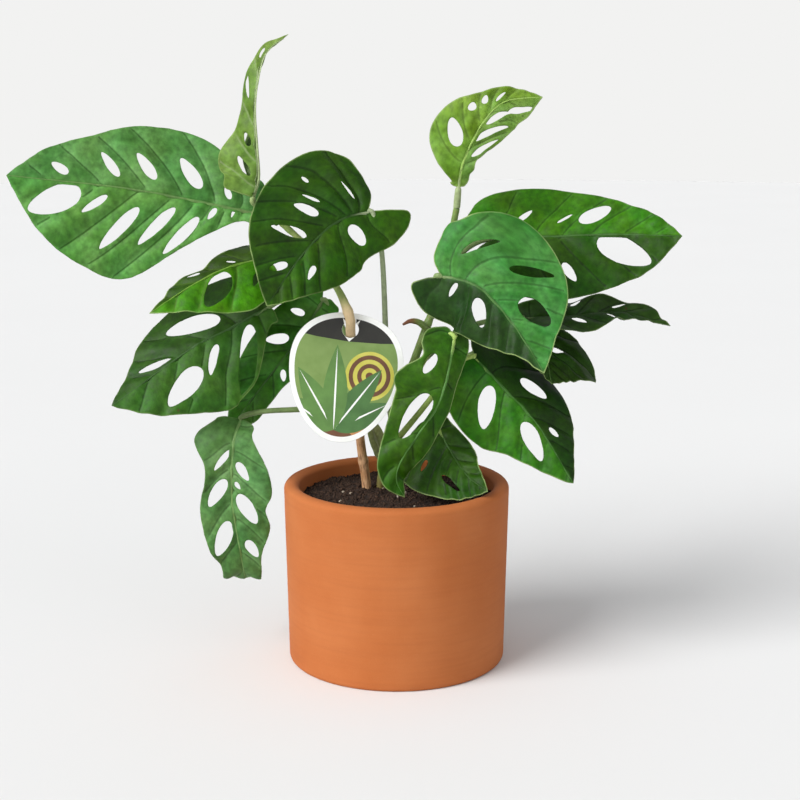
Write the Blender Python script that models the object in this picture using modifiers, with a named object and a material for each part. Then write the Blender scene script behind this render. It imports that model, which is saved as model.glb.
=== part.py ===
"""A potted Monstera adansonii: a terracotta cylinder pot, soil, two vine stems and their fenestrated leaves.

Sizes and places are in millimetres and are turned to metres by MM where a mesh is made. The pot stands on
Z = 0 with its axis on the Z axis, +X is to the right of the plant seen from the front, and the front is -Y.
"""

import math
from typing import NamedTuple

import bmesh
import bpy
from mathutils import Matrix, Vector, noise
from mathutils.geometry import delaunay_2d_cdt

MM = 0.001
TOUCH_GAP = 0.35  # between pieces that meet
CURVE_STEPS = 16  # between two points of a path, where its length is measured

# Pot
POT_HEIGHT = 114.0
POT_RIM_RADIUS = 70.8
POT_FOOT_RADIUS = 68.6
POT_WALL = 9.5
POT_FLOOR = 10.0
POT_RIM_ROUND = 3.6
POT_FOOT_BEVEL = 2.5
POT_CORNER = 4.0  # the fillet between the floor and the wall, inside
POT_SIDES = 48
RIM_POINTS = 5
DRAIN_HOLES = 3
DRAIN_RADIUS = 4.0
DRAIN_CIRCLE = 24.0

# Soil
SOIL_TOP = 103.5
SOIL_MOUND = 2.0
SOIL_LUMP = 1.6
SOIL_LUMP_SIZE = 9.0
SOIL_SIDES = 36
SOIL_RINGS = 8

# Leaf blades
BLADE_THICKNESS = 0.8
RIB_THICKNESS = 2.2
RIB_HALF_WIDTH = 1.6
STATIONS = (0.06, 0.25, 0.45, 0.65, 0.84)  # shares of the midrib's length where half widths are given
VEIN_RAKE = 0.75  # how far a side vein runs towards the tip for each unit outwards, a third of the way up
RAKE_AT_BASE = 0.7  # the share of that rake at the base
VEIN_GROWTH = 1.1  # how the rake grows along the midrib, for the whole of its length
VEIN_FAN = 1.6  # how much less it does so at the base, where the veins fan back into the lobes
FAN_SHARE = 0.11  # the share of the midrib over which that fan dies away
VEIN_BEND = 0.30  # how much more a side vein leans towards the tip near the edge
GAP_STEP = 0.15  # the share of the midrib between two side veins where a leaf gives only one gap
HOLE_POINTS = 9
HOLE_EGG = 0.2  # how much wider a hole is near the midrib than near the edge
BRIDGE = 1.7  # the least width of the blade outside a hole
RIB_BRIDGE = 1.9  # and between the midrib's line and a hole
VEIN_FOLLOW = 0.7  # how far the veins turn with the hole between them
MOST_TURN = 35.0  # in degrees, past which they turn no further
WAVE_STARTS = (1.3, 0.4)  # where in its wave the left and the right edge start
EDGE_POINTS = 3  # points between two knots of a blade's edge
LOBE_KNOTS = ((0.25, 0.95), (0.6, 0.82), (0.88, 0.36))  # the edge behind the base: shares of width and lobe
TIP_KNOT = (0.4, 0.945)  # the edge just before the tip: shares of the last half width and the length
END_LEAN = 0.3  # how far the edge's line is thought on past its two ends, as a share of its last span
PLEAT_REACH = 1.15
INNER_SHARES = (0.2, 0.42, 0.62, 0.82)  # where points stand across a half, for the pleats
EDGE_CLEARANCE = 3.5
HOLE_CLEARANCE = 2.2
RIB_STEP = 10.0
RIB_TAPER = 0.75

# Stalks and stems
STALK_FOOT_RADIUS = 2.1
STALK_NECK_RADIUS = 1.45
STALK_STEP = 9.0
STALK_RUN_IN = 1.5  # how far before the blade's base the stalk takes the midrib's line
STALK_INTO_BLADE = 7.0
STEM_STEP = 8.0
TUBE_RESOLUTION = 2

# Name tag: a card that hangs with the woody stem through its hole
TAG_HOLE = (-28.0, -12.0, 212.0)
TAG_DOWN = (-0.12, -0.2, -0.97)
TAG_ABOVE = 10.0
TAG_BELOW = 69.0
TAG_HALF_WIDTH = 34.0
TAG_THICKNESS = 1.0
TAG_HOLE_RADIUS = 5.2
TAG_TAPER = 0.2
TAG_ROUNDNESS = 0.94
TAG_POINTS = 36
TAG_HOLE_POINTS = 16

WOODY_STEM = {
    "name": "woody_stem",
    "path": (
        (-19, 14, 84), (-19, 14, 105), (-23, 12, 138), (-25, 9, 170), (-27, 4, 192), (-28, -4, 204),
        (-28, -12, 212), (-28, -17, 219), (-31, -16, 228), (-36, -10, 237), (-45, -3, 249), (-58, 5, 264),
        (-72, 7, 276), (-80, 6, 283),
    ),
    "radii": (3.0, 3.0, 2.9, 2.8, 2.7, 2.8, 3.1, 2.9, 1.9, 1.9, 1.8, 1.8),
    "spurs": (),
    "colour": (0.45, 0.30, 0.16),
}
GREEN_STEM = {
    "name": "green_stem",
    "path": (
        (-10, 15, 84), (-10, 15, 106), (-5, 12, 138), (3, 10, 165), (14, 10, 197), (25, 12, 228),
        (32, 12, 258), (37, 9, 284),
    ),
    "radii": (3.0, 3.0, 2.9, 2.8, 2.6, 2.4, 2.2, 2.0, 2.0),
    "spurs": (
        {"path": ((20, 10, 207), (15, 6, 213), (9, 3, 215), (4, 1, 213)), "radii": (1.8, 2.2, 1.7, 0.7)},
    ),
    "colour": (0.30, 0.42, 0.10),
}


class Side(NamedTuple):
    """One side of a blade. Widths are half widths at the stations, which are shares of the midrib's length,
    and lobe is how far the edge reaches back behind the base. Fold and curl are in degrees: fold is how far
    the half stands up at the midrib, and curl is how far it bends down from there to its edge. Gaps are the
    stretches between two side veins, each as the values of a Gap.
    """

    lobe: float
    widths: tuple
    fold: float = 0.0
    curl: float = 20.0
    gaps: tuple = ((0.1,), (0.25,), (0.4,), (0.55,), (0.7,))
    rake: float = VEIN_RAKE
    stations: tuple = STATIONS


class Gap(NamedTuple):
    """A stretch between two side veins: the share of the midrib's length at which it starts and, where it
    has a hole, how far out the hole's centre is, its length, its width, and the degrees that it turns from
    the vein lines towards the tip.
    """

    start: float
    centre: float = 0.0
    length: float = 0.0
    width: float = 0.0
    turn: float = 0.0


class Leaf(NamedTuple):
    """A leaf. Left and right are as seen from above with the tip pointing away. The midrib runs from the
    blade's base to its tip, facing is where the upper face looks from the base to the tip, and the stalk
    runs from the stem to the base. Wave and pleat are how far the edge waves and the blade puckers between
    its side veins.
    """

    name: str
    midrib: tuple
    facing: tuple
    left: Side
    right: Side
    stalk: tuple
    wave: float = 1.5
    pleat: float = 0.7
    young: bool = False


LEAVES = (
    Leaf(
        "leaf_left_large",
        midrib=((-89, 14, 281), (-127, 12, 289), (-168, 4, 297), (-234, -8, 305)),
        facing=((0.05, -0.9, 0.45), (-0.05, -0.9, 0.45)),
        left=Side(4, (8, 29, 54, 52, 34), fold=-8, curl=28, gaps=(
            (0.08, 3, 6, 2, 20), (0.15, 6, 9, 4, 10), (0.19, 23, 32, 7, 1), (0.28, 20, 33, 7, -4),
            (0.38, 25, 36, 8, -9), (0.56, 12, 19, 5, 3), (0.71, 12, 34, 16, 12),
        )),
        right=Side(6, (24, 42, 45, 34, 21), fold=4, curl=16, gaps=(
            (0.11, 9, 9, 4, 25), (0.21, 17, 23, 9, 5), (0.36, 16, 20, 7, -4), (0.5, 14, 19, 6, -10),
            (0.73, 8, 12, 6, 10),
        )),
        stalk=((-73, 8, 275), (-81, 12, 279)),
    ),
    Leaf(
        "leaf_left_new",
        midrib=(
            (-87, 2, 291), (-83.5, 0, 303), (-84, -2, 320), (-85, -2, 343), (-83, 0, 361), (-78, 4, 377),
            (-65, 14, 388),
        ),
        facing=((0.1, -1, 0.1), (-0.4, -0.9, 0), (-0.7, -0.7, 0), (-0.6, -0.8, 0)),
        left=Side(0, (21, 26, 12, 12, 7), curl=15, rake=1.2, gaps=(
            (0.13, 9, 15, 5, 25), (0.27, 6, 9, 5, 25), (0.51, 8, 17, 3, 9), (0.76, 3, 7, 3, 20),
        )),
        right=Side(0, (10, 18, 12, 9, 6), fold=-130, gaps=((0.2, 7, 9, 5), (0.4,), (0.6,))),
        stalk=((-80.6, 5.9, 283.5), (-86, 4, 287)),
        young=True,
    ),
    Leaf(
        "leaf_front_left",
        midrib=((-17, -2, 283), (-37, -14, 277), (-57, -30, 258), (-76, -44, 231)),
        facing=((0.12, -0.8, 0.6), (0.1, -0.9, 0.4)),
        left=Side(26, (27, 33, 32, 26, 13), fold=-5, curl=45, gaps=(
            (0.12, 13, 16, 11, -48), (0.35,), (0.52, 11, 10, 4, 32), (0.66,), (0.8,),
        )),
        right=Side(7, (43, 47, 43, 35, 18), fold=16, curl=16, gaps=(
            (0.09, 16, 14, 2, 13), (0.13, 32, 6, 2, -24), (0.18, 20, 11, 2, -8), (0.23, 17, 16, 6, -16),
            (0.38, 15, 22, 6, -19), (0.52,), (0.66, 7, 12, 5, 1),
        )),
        stalk=((-3, 11, 150), (-7, 9, 180), (-7, 6, 215), (-9, 2, 258), (-13, -1, 276)),
    ),
    Leaf(
        "leaf_left_low",
        midrib=((-83, 4, 254), (-104, -6, 249), (-125, -16, 239), (-148, -26, 224)),
        facing=((-0.1, -0.7, 0.7), (-0.15, -0.7, 0.7)),
        left=Side(6, (28, 32, 28, 20, 9), fold=-12, curl=10, gaps=(
            (0.1, 14, 10, 4, 23), (0.34, 11, 28, 14, 19), (0.6,),
        )),
        right=Side(6, (23, 18, 10, 12, 5), fold=-15, curl=10, gaps=(
            (0.21, 4, 6, 2, 24), (0.44, 8, 9, 3, 15), (0.65,),
        )),
        stalk=((-55, 2, 262), (-68, 6, 260)),
        young=True,
    ),
    Leaf(
        "leaf_left_dark",
        midrib=((-80, 14, 222), (-107, 9, 208), (-129, 3, 197), (-175, -14, 165)),
        facing=((-0.2, -0.85, 0.5), (-0.2, -0.85, 0.5)),
        left=Side(2, (13, 38, 46, 37, 22), fold=-6, curl=24, gaps=(
            (0.15, 24, 46, 11, 1), (0.31, 14, 22, 6, 4), (0.47, 18, 32, 14, 28), (0.66,),
        )),
        right=Side(8, (38, 44, 39, 30, 12), fold=-10, curl=18, gaps=(
            (0.1,), (0.29, 16, 34, 14, 28), (0.48,), (0.64, 5, 22, 5, 24),
        )),
        stalk=((-40, -5, 242), (-58, 8, 236)),
    ),
    Leaf(
        "leaf_behind_tag",
        midrib=((-47, 26, 224), (-61, 26, 202), (-82, 22, 175), (-107, 14, 143)),
        facing=((-0.1, -0.9, 0.4), (-0.1, -0.95, 0.3)),
        left=Side(4, (14, 20, 14, 11, 11), fold=4, curl=16, gaps=(
            (0.12,), (0.27, 8, 11, 5), (0.45, 7, 8, 4), (0.65,),
        )),
        right=Side(8, (18, 25, 26, 21, 11), fold=4, curl=16, gaps=(
            (0.12, 10, 10, 5), (0.28, 11, 16, 7), (0.46,), (0.65,),
        )),
        stalk=((-26, 4, 182), (-30, 14, 198), (-38, 24, 216)),
    ),
    Leaf(
        "leaf_hanging",
        midrib=((-98, 6, 152), (-102, -4, 138), (-103, -9, 104), (-99, -6, 70), (-97, 5, 48), (-98, 24, 50)),
        facing=((0, -0.85, 0.5), (0, -1, 0), (0, -1, -0.2), (0, -0.6, -0.8)),
        left=Side(
            -6, (11, 22, 25, 20, 21, 13, 10), fold=4, curl=14,
            stations=(0.09, 0.25, 0.38, 0.47, 0.57, 0.7, 0.85), gaps=(
                (0.1,), (0.23, 7, 14, 6, 23), (0.31, 4, 6, 3, 15), (0.39, 9, 23, 9, 20), (0.59, 8, 14, 7, 18),
                (0.75,),
            ),
        ),
        right=Side(
            -5, (16, 25, 17, 17, 21, 19, 14, 13), fold=4, curl=14,
            stations=(0.05, 0.13, 0.24, 0.33, 0.45, 0.64, 0.74, 0.88),
            gaps=((0.19, 6, 16, 4, 26), (0.31, 9, 20, 8, 12), (0.52, 9, 26, 10, 15), (0.7,)),
        ),
        stalk=((-24, 9, 150), (-45, 10, 158), (-64, 7, 158), (-84, 6, 157)),
        wave=2.0,
    ),
    Leaf(
        "leaf_right_new",
        midrib=((38, 7, 297), (40, 4, 310), (47, 2, 327), (56, 0, 341), (67, 2, 349), (88, 4, 351)),
        facing=((0, -1, 0.1), (0, -0.95, 0.4)),
        left=Side(-3, (6, 25, 25, 13, 6), curl=14, gaps=(
            (0.1,), (0.25, 12, 17, 9, 4), (0.42, 11, 5, 5, 10), (0.53, 8, 5, 4, 3), (0.66, 4, 7, 2, 20),
        )),
        right=Side(
            -7, (6, 7.5, 7, 9, 15, 17, 14), curl=14, rake=1.3,
            stations=(0.11, 0.16, 0.23, 0.28, 0.45, 0.65, 0.84),
            gaps=((0.23, 9, 22, 4, 5), (0.36, 7, 25, 4, 1), (0.52, 5, 20, 4, 12), (0.66, 7, 20, 4, 25)),
        ),
        stalk=((37, 9, 284.4),),
        young=True,
    ),
    Leaf(
        "leaf_right_large",
        midrib=((61, 18, 265), (92, 15, 266), (131, 9, 268), (174, -2, 268)),
        facing=((0, -0.85, 0.5), (0.1, -0.9, 0.4)),
        left=Side(18, (36, 37, 32, 24, 15), fold=-4, curl=18, gaps=(
            (0.13, 15, 12, 4, 27), (0.3, 12, 11, 2, 18), (0.42, 14, 21, 10, 16), (0.6,), (0.76,),
        )),
        right=Side(12, (34, 40, 38, 33, 22), fold=-4, curl=18, gaps=(
            (0.1,), (0.25, 23, 14, 6, -7), (0.42,), (0.6, 10.5, 37, 16, 19), (0.82,),
        )),
        stalk=((30, 12, 246), (46, 17, 260)),
    ),
    Leaf(
        "leaf_center_right",
        midrib=((27, -14, 245), (44, -22, 242), (56, -28, 234), (73, -38, 214), (87, -50, 192)),
        facing=((0.2, -0.97, 0.2), (0.2, -0.95, 0.3)),
        left=Side(7, (36, 48, 47, 38, 16), fold=10, curl=14, gaps=(
            (0.12, 23, 20, 4, 19), (0.22, 29, 25, 6, 3), (0.34,), (0.47, 15, 22, 13, 26), (0.66,), (0.8,),
        )),
        right=Side(18, (29, 33, 28, 20, 7), fold=-10, curl=35, gaps=(
            (0.1, 7, 10, 4, -29), (0.31, 11, 20, 9, 21), (0.5,), (0.66,),
        )),
        stalk=((22, 11, 216), (24, 4, 234), (24, -8, 243)),
    ),
    Leaf(
        "leaf_lower_right",
        midrib=((48, -8, 194), (67, -14, 175), (87, -24, 154), (107, -38, 122)),
        facing=((0.15, -0.85, 0.5), (0.15, -0.9, 0.4)),
        left=Side(10, (34, 40, 38, 27, 12), fold=-18, curl=26, gaps=(
            (0.05,), (0.25, 18, 19, 10, 33), (0.43,), (0.59, 7, 8, 4, 25), (0.76,),
        )),
        right=Side(12, (33, 37, 35, 25, 13), fold=-16, curl=24, gaps=(
            (0.05,), (0.19, 16, 27, 11, 4), (0.36,), (0.56, 8, 28, 10, 35), (0.8,),
        )),
        stalk=((-6.2, 12.5, 130), (2, 6, 141), (19, -2, 164), (33, -6, 184)),
    ),
    Leaf(
        "leaf_right_twisted",
        midrib=((81, 24, 214), (110, 26, 215), (142, 28, 217), (173, 22, 209)),
        facing=((0, -0.4, 0.9), (0, -0.3, 1)),
        left=Side(6, (15, 18, 17, 16, 12), fold=10, curl=10, gaps=(
            (0.12,), (0.27, 12, 10, 4, 8), (0.42,), (0.56, 8, 14, 4, -5), (0.75,),
        )),
        right=Side(6, (22, 25, 21, 13, 5), fold=10, curl=10, gaps=(
            (0.12,), (0.28, 9, 12, 4), (0.48, 9, 13, 3, -25), (0.65,), (0.8,),
        )),
        stalk=((9, 10, 182), (38, 20, 205), (64, 24, 213)),
        wave=3.0,
    ),
    Leaf(
        "leaf_right_back",
        midrib=((94, 30, 204), (94, 10, 194), (95, -16, 179)),
        facing=((0.2, -0.5, 0.85), (0.2, -0.6, 0.75)),
        left=Side(8, (26, 33, 36, 34, 17), fold=0, curl=30, gaps=(
            (0.1,), (0.25, 8, 10, 5, -45), (0.45,), (0.6,), (0.76,),
        )),
        right=Side(6, (14, 15, 12, 8, 5), fold=0, curl=20, gaps=((0.15,), (0.35,), (0.55,), (0.75,))),
        stalk=((6, 10, 172), (44, 16, 190), (76, 30, 203)),
    ),
    Leaf(
        "leaf_center_hanging",
        midrib=(
            (35, -20, 208), (31, -28, 187), (25, -33, 169), (14, -36, 153), (3, -38, 136), (0, -38, 124),
            (5, -37, 113),
        ),
        facing=((0, -1, 0.2), (-0.1, -1, 0.2)),
        left=Side(6, (12, 8, 10, 13, 8), fold=-30, curl=10, gaps=((0.15,), (0.35,), (0.55,), (0.75,))),
        right=Side(
            6, (19, 17, 25, 31, 26, 19, 12), fold=4, curl=10,
            stations=(0.05, 0.13, 0.21, 0.31, 0.47, 0.65, 0.84),
            gaps=((0.14, 12, 15, 7, 50), (0.44, 8, 34, 13, 45), (0.72,), (0.85,)),
        ),
        stalk=((-3.8, 11.7, 142), (5, 2, 163), (16, -6, 190), (28, -14, 208)),
        wave=1.6,
    ),
    Leaf(
        "leaf_sheath",
        midrib=((-9, 5, 127), (-12, 0, 138), (-15, -3, 148), (-18, -4, 158)),
        facing=((0.3, -0.9, 0.2), (0.3, -0.9, 0.2)),
        left=Side(0, (4, 5.5, 5.8, 5, 3), fold=30, curl=10, gaps=((0.3,), (0.6,))),
        right=Side(0, (4, 5.5, 5.8, 5, 3), fold=30, curl=10, gaps=((0.3,), (0.6,))),
        stalk=((-8, 13, 116), (-8, 9, 122)),
        wave=0.5,
        pleat=0.1,
        young=True,
    ),
    Leaf(
        "leaf_over_rim",
        midrib=((25, -1, 150), (33, -12, 137), (43, -30, 125), (55, -42, 118)),
        facing=((-0.2, -0.8, 0.55), (-0.2, -0.8, 0.55)),
        left=Side(4, (9, 12, 13, 10, 6), curl=16, gaps=((0.15,), (0.35,), (0.55,))),
        right=Side(6, (22, 34, 33, 24, 13), curl=16, gaps=(
            (0.17, 19, 8, 3, -2), (0.32,), (0.47, 11, 15, 4, 52), (0.64,), (0.8,),
        )),
        stalk=((-7.2, 13, 121), (4, 8, 132), (16, 2, 145)),
    ),
)


def spline_point(a, b, c, d, t):
    """The point at share t from b to c on a Catmull-Rom curve."""
    return 0.5 * (2 * b + (c - a) * t + (2 * a - 5 * b + 4 * c - d) * t**2 + (3 * b - a - 3 * c + d) * t**3)


def smooth_path(points, step):
    """Points a step apart along a Catmull-Rom curve through the given ones."""
    known = [Vector(p) for p in points]
    known = [2 * known[0] - known[1], *known, 2 * known[-1] - known[-2]]
    fine = []
    for a, b, c, d in zip(known, known[1:], known[2:], known[3:]):
        fine += [spline_point(a, b, c, d, i / CURVE_STEPS) for i in range(CURVE_STEPS)]
    fine.append(known[-2])
    lengths = [0.0]
    for a, b in zip(fine, fine[1:]):
        lengths.append(lengths[-1] + (b - a).length)
    count = max(2, round(lengths[-1] / step))
    path = []
    index = 0
    for i in range(count + 1):
        wanted = lengths[-1] * i / count
        while index < len(fine) - 2 and lengths[index + 1] < wanted:
            index += 1
        span = lengths[index + 1] - lengths[index]
        path.append(fine[index].lerp(fine[index + 1], (wanted - lengths[index]) / span))
    return path


def interpolate(values, t):
    """The value at share t of an evenly spaced list."""
    place = min(max(t, 0.0), 1.0) * (len(values) - 1)
    index = min(int(place), len(values) - 2)
    return values[index] + (values[index + 1] - values[index]) * (place - index)


class Blade:
    """A leaf's blade as a flat plan, across and along the midrib, bent over the midrib's curve."""

    def __init__(self, leaf):
        self.leaf = leaf
        self.rib = smooth_path(leaf.midrib, 2.0)
        self.length = sum((b - a).length for a, b in zip(self.rib, self.rib[1:]))
        self.facing = [Vector(v).normalized() for v in leaf.facing]
        last = len(self.rib) - 1
        self.ahead = [
            (self.rib[min(i + 2, last)] - self.rib[max(i - 2, 0)]).normalized() for i in range(last + 1)
        ]

    def side(self, across):
        return self.leaf.left if across < 0 else self.leaf.right

    def half_width(self, across):
        return max(self.side(across).widths)

    def frame(self, along):
        """The midrib's point, its direction, the upper face's normal and the direction to the right."""
        share = along / self.length
        ahead = interpolate(self.ahead, share).normalized()
        point = interpolate(self.rib, share) + ahead * min(along, 0.0)
        look = interpolate(self.facing, share)
        normal = (look - ahead * look.dot(ahead)).normalized()
        return point, ahead, normal, ahead.cross(normal)

    def vein_along(self, start, out, side):
        """Where the vein line that leaves the midrib at a share of its length is, at a distance out."""
        rake = self.side(side).rake * (RAKE_AT_BASE + VEIN_GROWTH * start)
        rake -= VEIN_FAN * math.exp(-start / FAN_SHARE)
        return self.length * start + rake * out + VEIN_BEND * out * out / self.half_width(side)

    def vein_angle(self, start, out, side):
        """The angle in the plan between that line and straight outwards."""
        return math.atan(self.vein_along(start, out + 0.5, side) - self.vein_along(start, out - 0.5, side))

    def gaps(self, side):
        return [Gap(*values) for values in self.side(side).gaps]

    def gap_line(self, gap, out, side):
        """Where the middle of a gap is at a distance out: away from the midrib it turns with the gap's
        hole.
        """
        lean = VEIN_FOLLOW * math.tan(math.radians(min(max(gap.turn, -MOST_TURN), MOST_TURN)))
        reach = min(out, gap.centre + gap.length / 2) - gap.centre
        return self.vein_along(gap.start, out, side) + lean * reach * min(out / max(gap.centre, 1.0), 1.0)

    def veins_at(self, out, side):
        """Where each side vein is at a distance out: midway between the gaps, and one beyond each end."""
        gaps = [self.gap_line(gap, out, side) for gap in self.gaps(side)]
        if len(gaps) == 1:
            step = GAP_STEP * self.length
            gaps = [gaps[0] - step, gaps[0], gaps[0] + step]
        between = [(a + b) / 2 for a, b in zip(gaps, gaps[1:])]
        return [gaps[0] - (gaps[1] - gaps[0]) / 2, *between, gaps[-1] + (gaps[-1] - gaps[-2]) / 2]

    def vein_phase(self, across, along):
        """Whole on a side vein, and a half in the middle of a gap between two."""
        veins = self.veins_at(abs(across), across)
        index = 0
        while index < len(veins) - 2 and veins[index + 1] < along:
            index += 1
        return index + (along - veins[index]) / max(veins[index + 1] - veins[index], 1.0)

    def place(self, across, along):
        """The point in space, in millimetres, of a point of the plan."""
        point, _, normal, right = self.frame(along)
        side = self.side(across)
        out = abs(across)
        if across < 0:
            right = -right
        reach = min(out / self.half_width(across), 1.0)
        fold = math.radians(side.fold)
        curl = math.radians(side.curl) / self.half_width(across)
        angle = fold - curl * out
        outward = (math.sin(fold) - math.sin(angle)) / curl
        upward = (math.cos(angle) - math.cos(fold)) / curl
        phase = self.vein_phase(across, along)
        edge = reach * reach * math.sin(math.pi * phase + WAVE_STARTS[across >= 0])
        pleat = math.cos(math.tau * phase) * math.sin(math.pi * min(reach * PLEAT_REACH, 1.0))
        lift = upward + self.leaf.wave * edge - self.leaf.pleat * pleat
        return point + right * outward + normal * lift


def half_outline(blade, side):
    """One side of the plan from the notch at the base round to the tip, as (across, along)."""
    shape = blade.side(side)
    length = blade.length
    first, last = shape.widths[0], shape.widths[-1]
    knots = [(0.0, 0.0)]
    knots += [(out * first, -(back if shape.lobe > 0 else 1 - back) * shape.lobe) for out, back in LOBE_KNOTS]
    knots += [(width, share * length) for width, share in zip(shape.widths, shape.stations)]
    knots += [(TIP_KNOT[0] * last, TIP_KNOT[1] * length), (0.0, length)]
    rim = [Vector(k) for k in knots]
    before = rim[0] + (rim[0] - rim[1]) * END_LEAN
    after = rim[-1] + (rim[-1] - rim[-2]) * END_LEAN
    padded = [before, *rim, after]
    line = []
    for a, b, c, d in zip(padded, padded[1:], padded[2:], padded[3:]):
        for i in range(EDGE_POINTS):
            p = spline_point(a, b, c, d, i / EDGE_POINTS)
            line.append(Vector((side * max(p.x, 0.0), p.y)))
    line.append(Vector((0.0, length)))
    return line


def outline(blade):
    """The whole plan's edge: up the right side and back down the left."""
    right = half_outline(blade, 1)
    left = half_outline(blade, -1)
    return right + left[-2:0:-1]


def rim_reach(rim, along):
    """How far out a half's edge is beside a place along the midrib."""
    reach = 0.0
    for a, b in zip(rim, rim[1:]):
        if a.y != b.y and min(a.y, b.y) <= along <= max(a.y, b.y):
            reach = max(reach, abs(a.lerp(b, (along - a.y) / (b.y - a.y)).x))
    return reach


def hole_outline(blade, gap, side, rim):
    """One hole: an oval along the vein lines, widest near the midrib, that ends at a thin bridge where the
    blade does.
    """
    lean = blade.vein_angle(gap.start, gap.centre, side) + math.radians(gap.turn)
    middle = blade.vein_along(gap.start, gap.centre, side)
    loop = []
    for i in range(HOLE_POINTS):
        turn = math.tau * i / HOLE_POINTS
        ahead = gap.length / 2 * math.cos(turn)
        aside = gap.width / 2 * math.sin(turn) * (1 - HOLE_EGG * math.cos(turn))
        along = middle + ahead * math.sin(lean) + aside * math.cos(lean)
        out = gap.centre + ahead * math.cos(lean) - aside * math.sin(lean)
        out = max(min(out, rim_reach(rim, along) - BRIDGE), RIB_BRIDGE)
        loop.append(Vector((side * out, along)))
    return loop


def hole_outlines(blade):
    """The holes in the gaps between the side veins."""
    loops = []
    for side in (-1, 1):
        rim = half_outline(blade, side)
        loops += [hole_outline(blade, gap, side, rim) for gap in blade.gaps(side) if gap.length]
    return loops


def inside(point, loop):
    """Whether a plan point lies inside a closed loop, by counting crossings."""
    crossings = False
    for a, b in zip(loop, loop[1:] + loop[:1]):
        if (a.y > point.y) != (b.y > point.y) and point.x < (b.x - a.x) * (point.y - a.y) / (b.y - a.y) + a.x:
            crossings = not crossings
    return crossings


def clearance(point, loop):
    """The distance from a plan point to the nearest edge of a loop."""
    best = 1e9
    for a, b in zip(loop, loop[1:] + loop[:1]):
        edge = b - a
        share = min(max((point - a).dot(edge) / max(edge.length_squared, 1e-9), 0.0), 1.0)
        best = min(best, (point - a - edge * share).length)
    return best


def inner_points(blade, edge, holes):
    """Points along the side veins and midway between them, where the blade's pleats need them."""
    found = []
    for side in (-1, 1):
        for share in INNER_SHARES:
            out = share * blade.half_width(side)
            middles = [blade.gap_line(gap, out, side) for gap in blade.gaps(side)]
            for along in (*blade.veins_at(out, side), *middles):
                point = Vector((side * out, along))
                if inside(point, edge) and clearance(point, edge) > EDGE_CLEARANCE:
                    if all(not inside(point, h) and clearance(point, h) > HOLE_CLEARANCE for h in holes):
                        found.append(point)
    return found


def rib_points(blade):
    """The midrib's line, and a line at each side of it where its swelling ends, as plan points."""
    count = max(5, round(blade.length / RIB_STEP))
    middle = [Vector((0.0, blade.length * i / count)) for i in range(count + 1)]
    beside = [
        Vector((side * RIB_HALF_WIDTH, blade.length * (i + 0.5) / count))
        for side in (-1, 1)
        for i in range(count - 1)
    ]
    return middle, beside


def blade_sheet(blade):
    """The blade's middle surface: its plan is triangulated round the holes, then every point is put in
    place.
    """
    edge = outline(blade)
    holes = hole_outlines(blade)
    middle, beside = rib_points(blade)
    points = list(edge)
    lines = [(i, (i + 1) % len(edge)) for i in range(len(edge))]
    for hole in holes:
        first = len(points)
        points += hole
        lines += [(first + i, first + (i + 1) % len(hole)) for i in range(len(hole))]
    first = len(points)
    points += middle
    lines += [(first + i, first + i + 1) for i in range(len(middle) - 1)]
    points += beside
    points += inner_points(blade, edge, holes)
    plan, _, faces, *_ = delaunay_2d_cdt(points, lines, [], 0, 1e-4)
    kept = []
    for face in faces:
        centre = sum((plan[i] for i in face), Vector((0, 0))) / 3
        if inside(centre, edge) and not any(inside(centre, h) for h in holes):
            kept.append(face)
    used = sorted({i for face in kept for i in face})
    number = {old: new for new, old in enumerate(used)}
    mesh = bpy.data.meshes.new(blade.leaf.name)
    places = [blade.place(plan[i].x, plan[i].y) * MM for i in used]
    mesh.from_pydata(places, [], [[number[i] for i in face] for face in kept])
    rib_share = []
    for i in used:
        near = max(0.0, 1 - abs(plan[i].x) / RIB_HALF_WIDTH)
        rib_share.append(near * (1 - RIB_TAPER * max(plan[i].y, 0.0) / blade.length))
    return mesh, rib_share


def link(obj, collection):
    bpy.data.collections[collection].objects.link(obj)
    return obj


def evaluated_mesh(obj):
    """The object's mesh with its modifiers or bevel applied, its caps joined on, and its faces out."""
    bpy.context.view_layer.update()
    graph = bpy.context.evaluated_depsgraph_get()
    mesh = bpy.data.meshes.new_from_object(obj.evaluated_get(graph))
    work = bmesh.new()
    work.from_mesh(mesh)
    bmesh.ops.remove_doubles(work, verts=work.verts, dist=1e-6)
    bmesh.ops.triangulate(work, faces=work.faces)
    bmesh.ops.recalc_face_normals(work, faces=work.faces)
    work.to_mesh(mesh)
    work.free()
    return mesh


def tube(name, path, radii, extra=0.0):
    """A round tube along a path in millimetres, as a mesh object in the helpers' collection."""
    curve = bpy.data.curves.new(name, "CURVE")
    curve.dimensions = "3D"
    curve.bevel_depth = MM
    curve.bevel_resolution = TUBE_RESOLUTION
    curve.use_fill_caps = True
    spline = curve.splines.new("POLY")
    spline.points.add(len(path) - 1)
    for i, (point, place) in enumerate(zip(spline.points, path)):
        point.co = (*(Vector(place) * MM), 1.0)
        point.radius = interpolate(radii, i / (len(path) - 1)) + extra
    drawn = link(bpy.data.objects.new(name + "_curve", curve), "helpers")
    mesh = evaluated_mesh(drawn)
    bpy.data.objects.remove(drawn)
    solid = link(bpy.data.objects.new(name, mesh), "helpers")
    solid.hide_render = True
    solid.display_type = "WIRE"
    return solid


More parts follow.
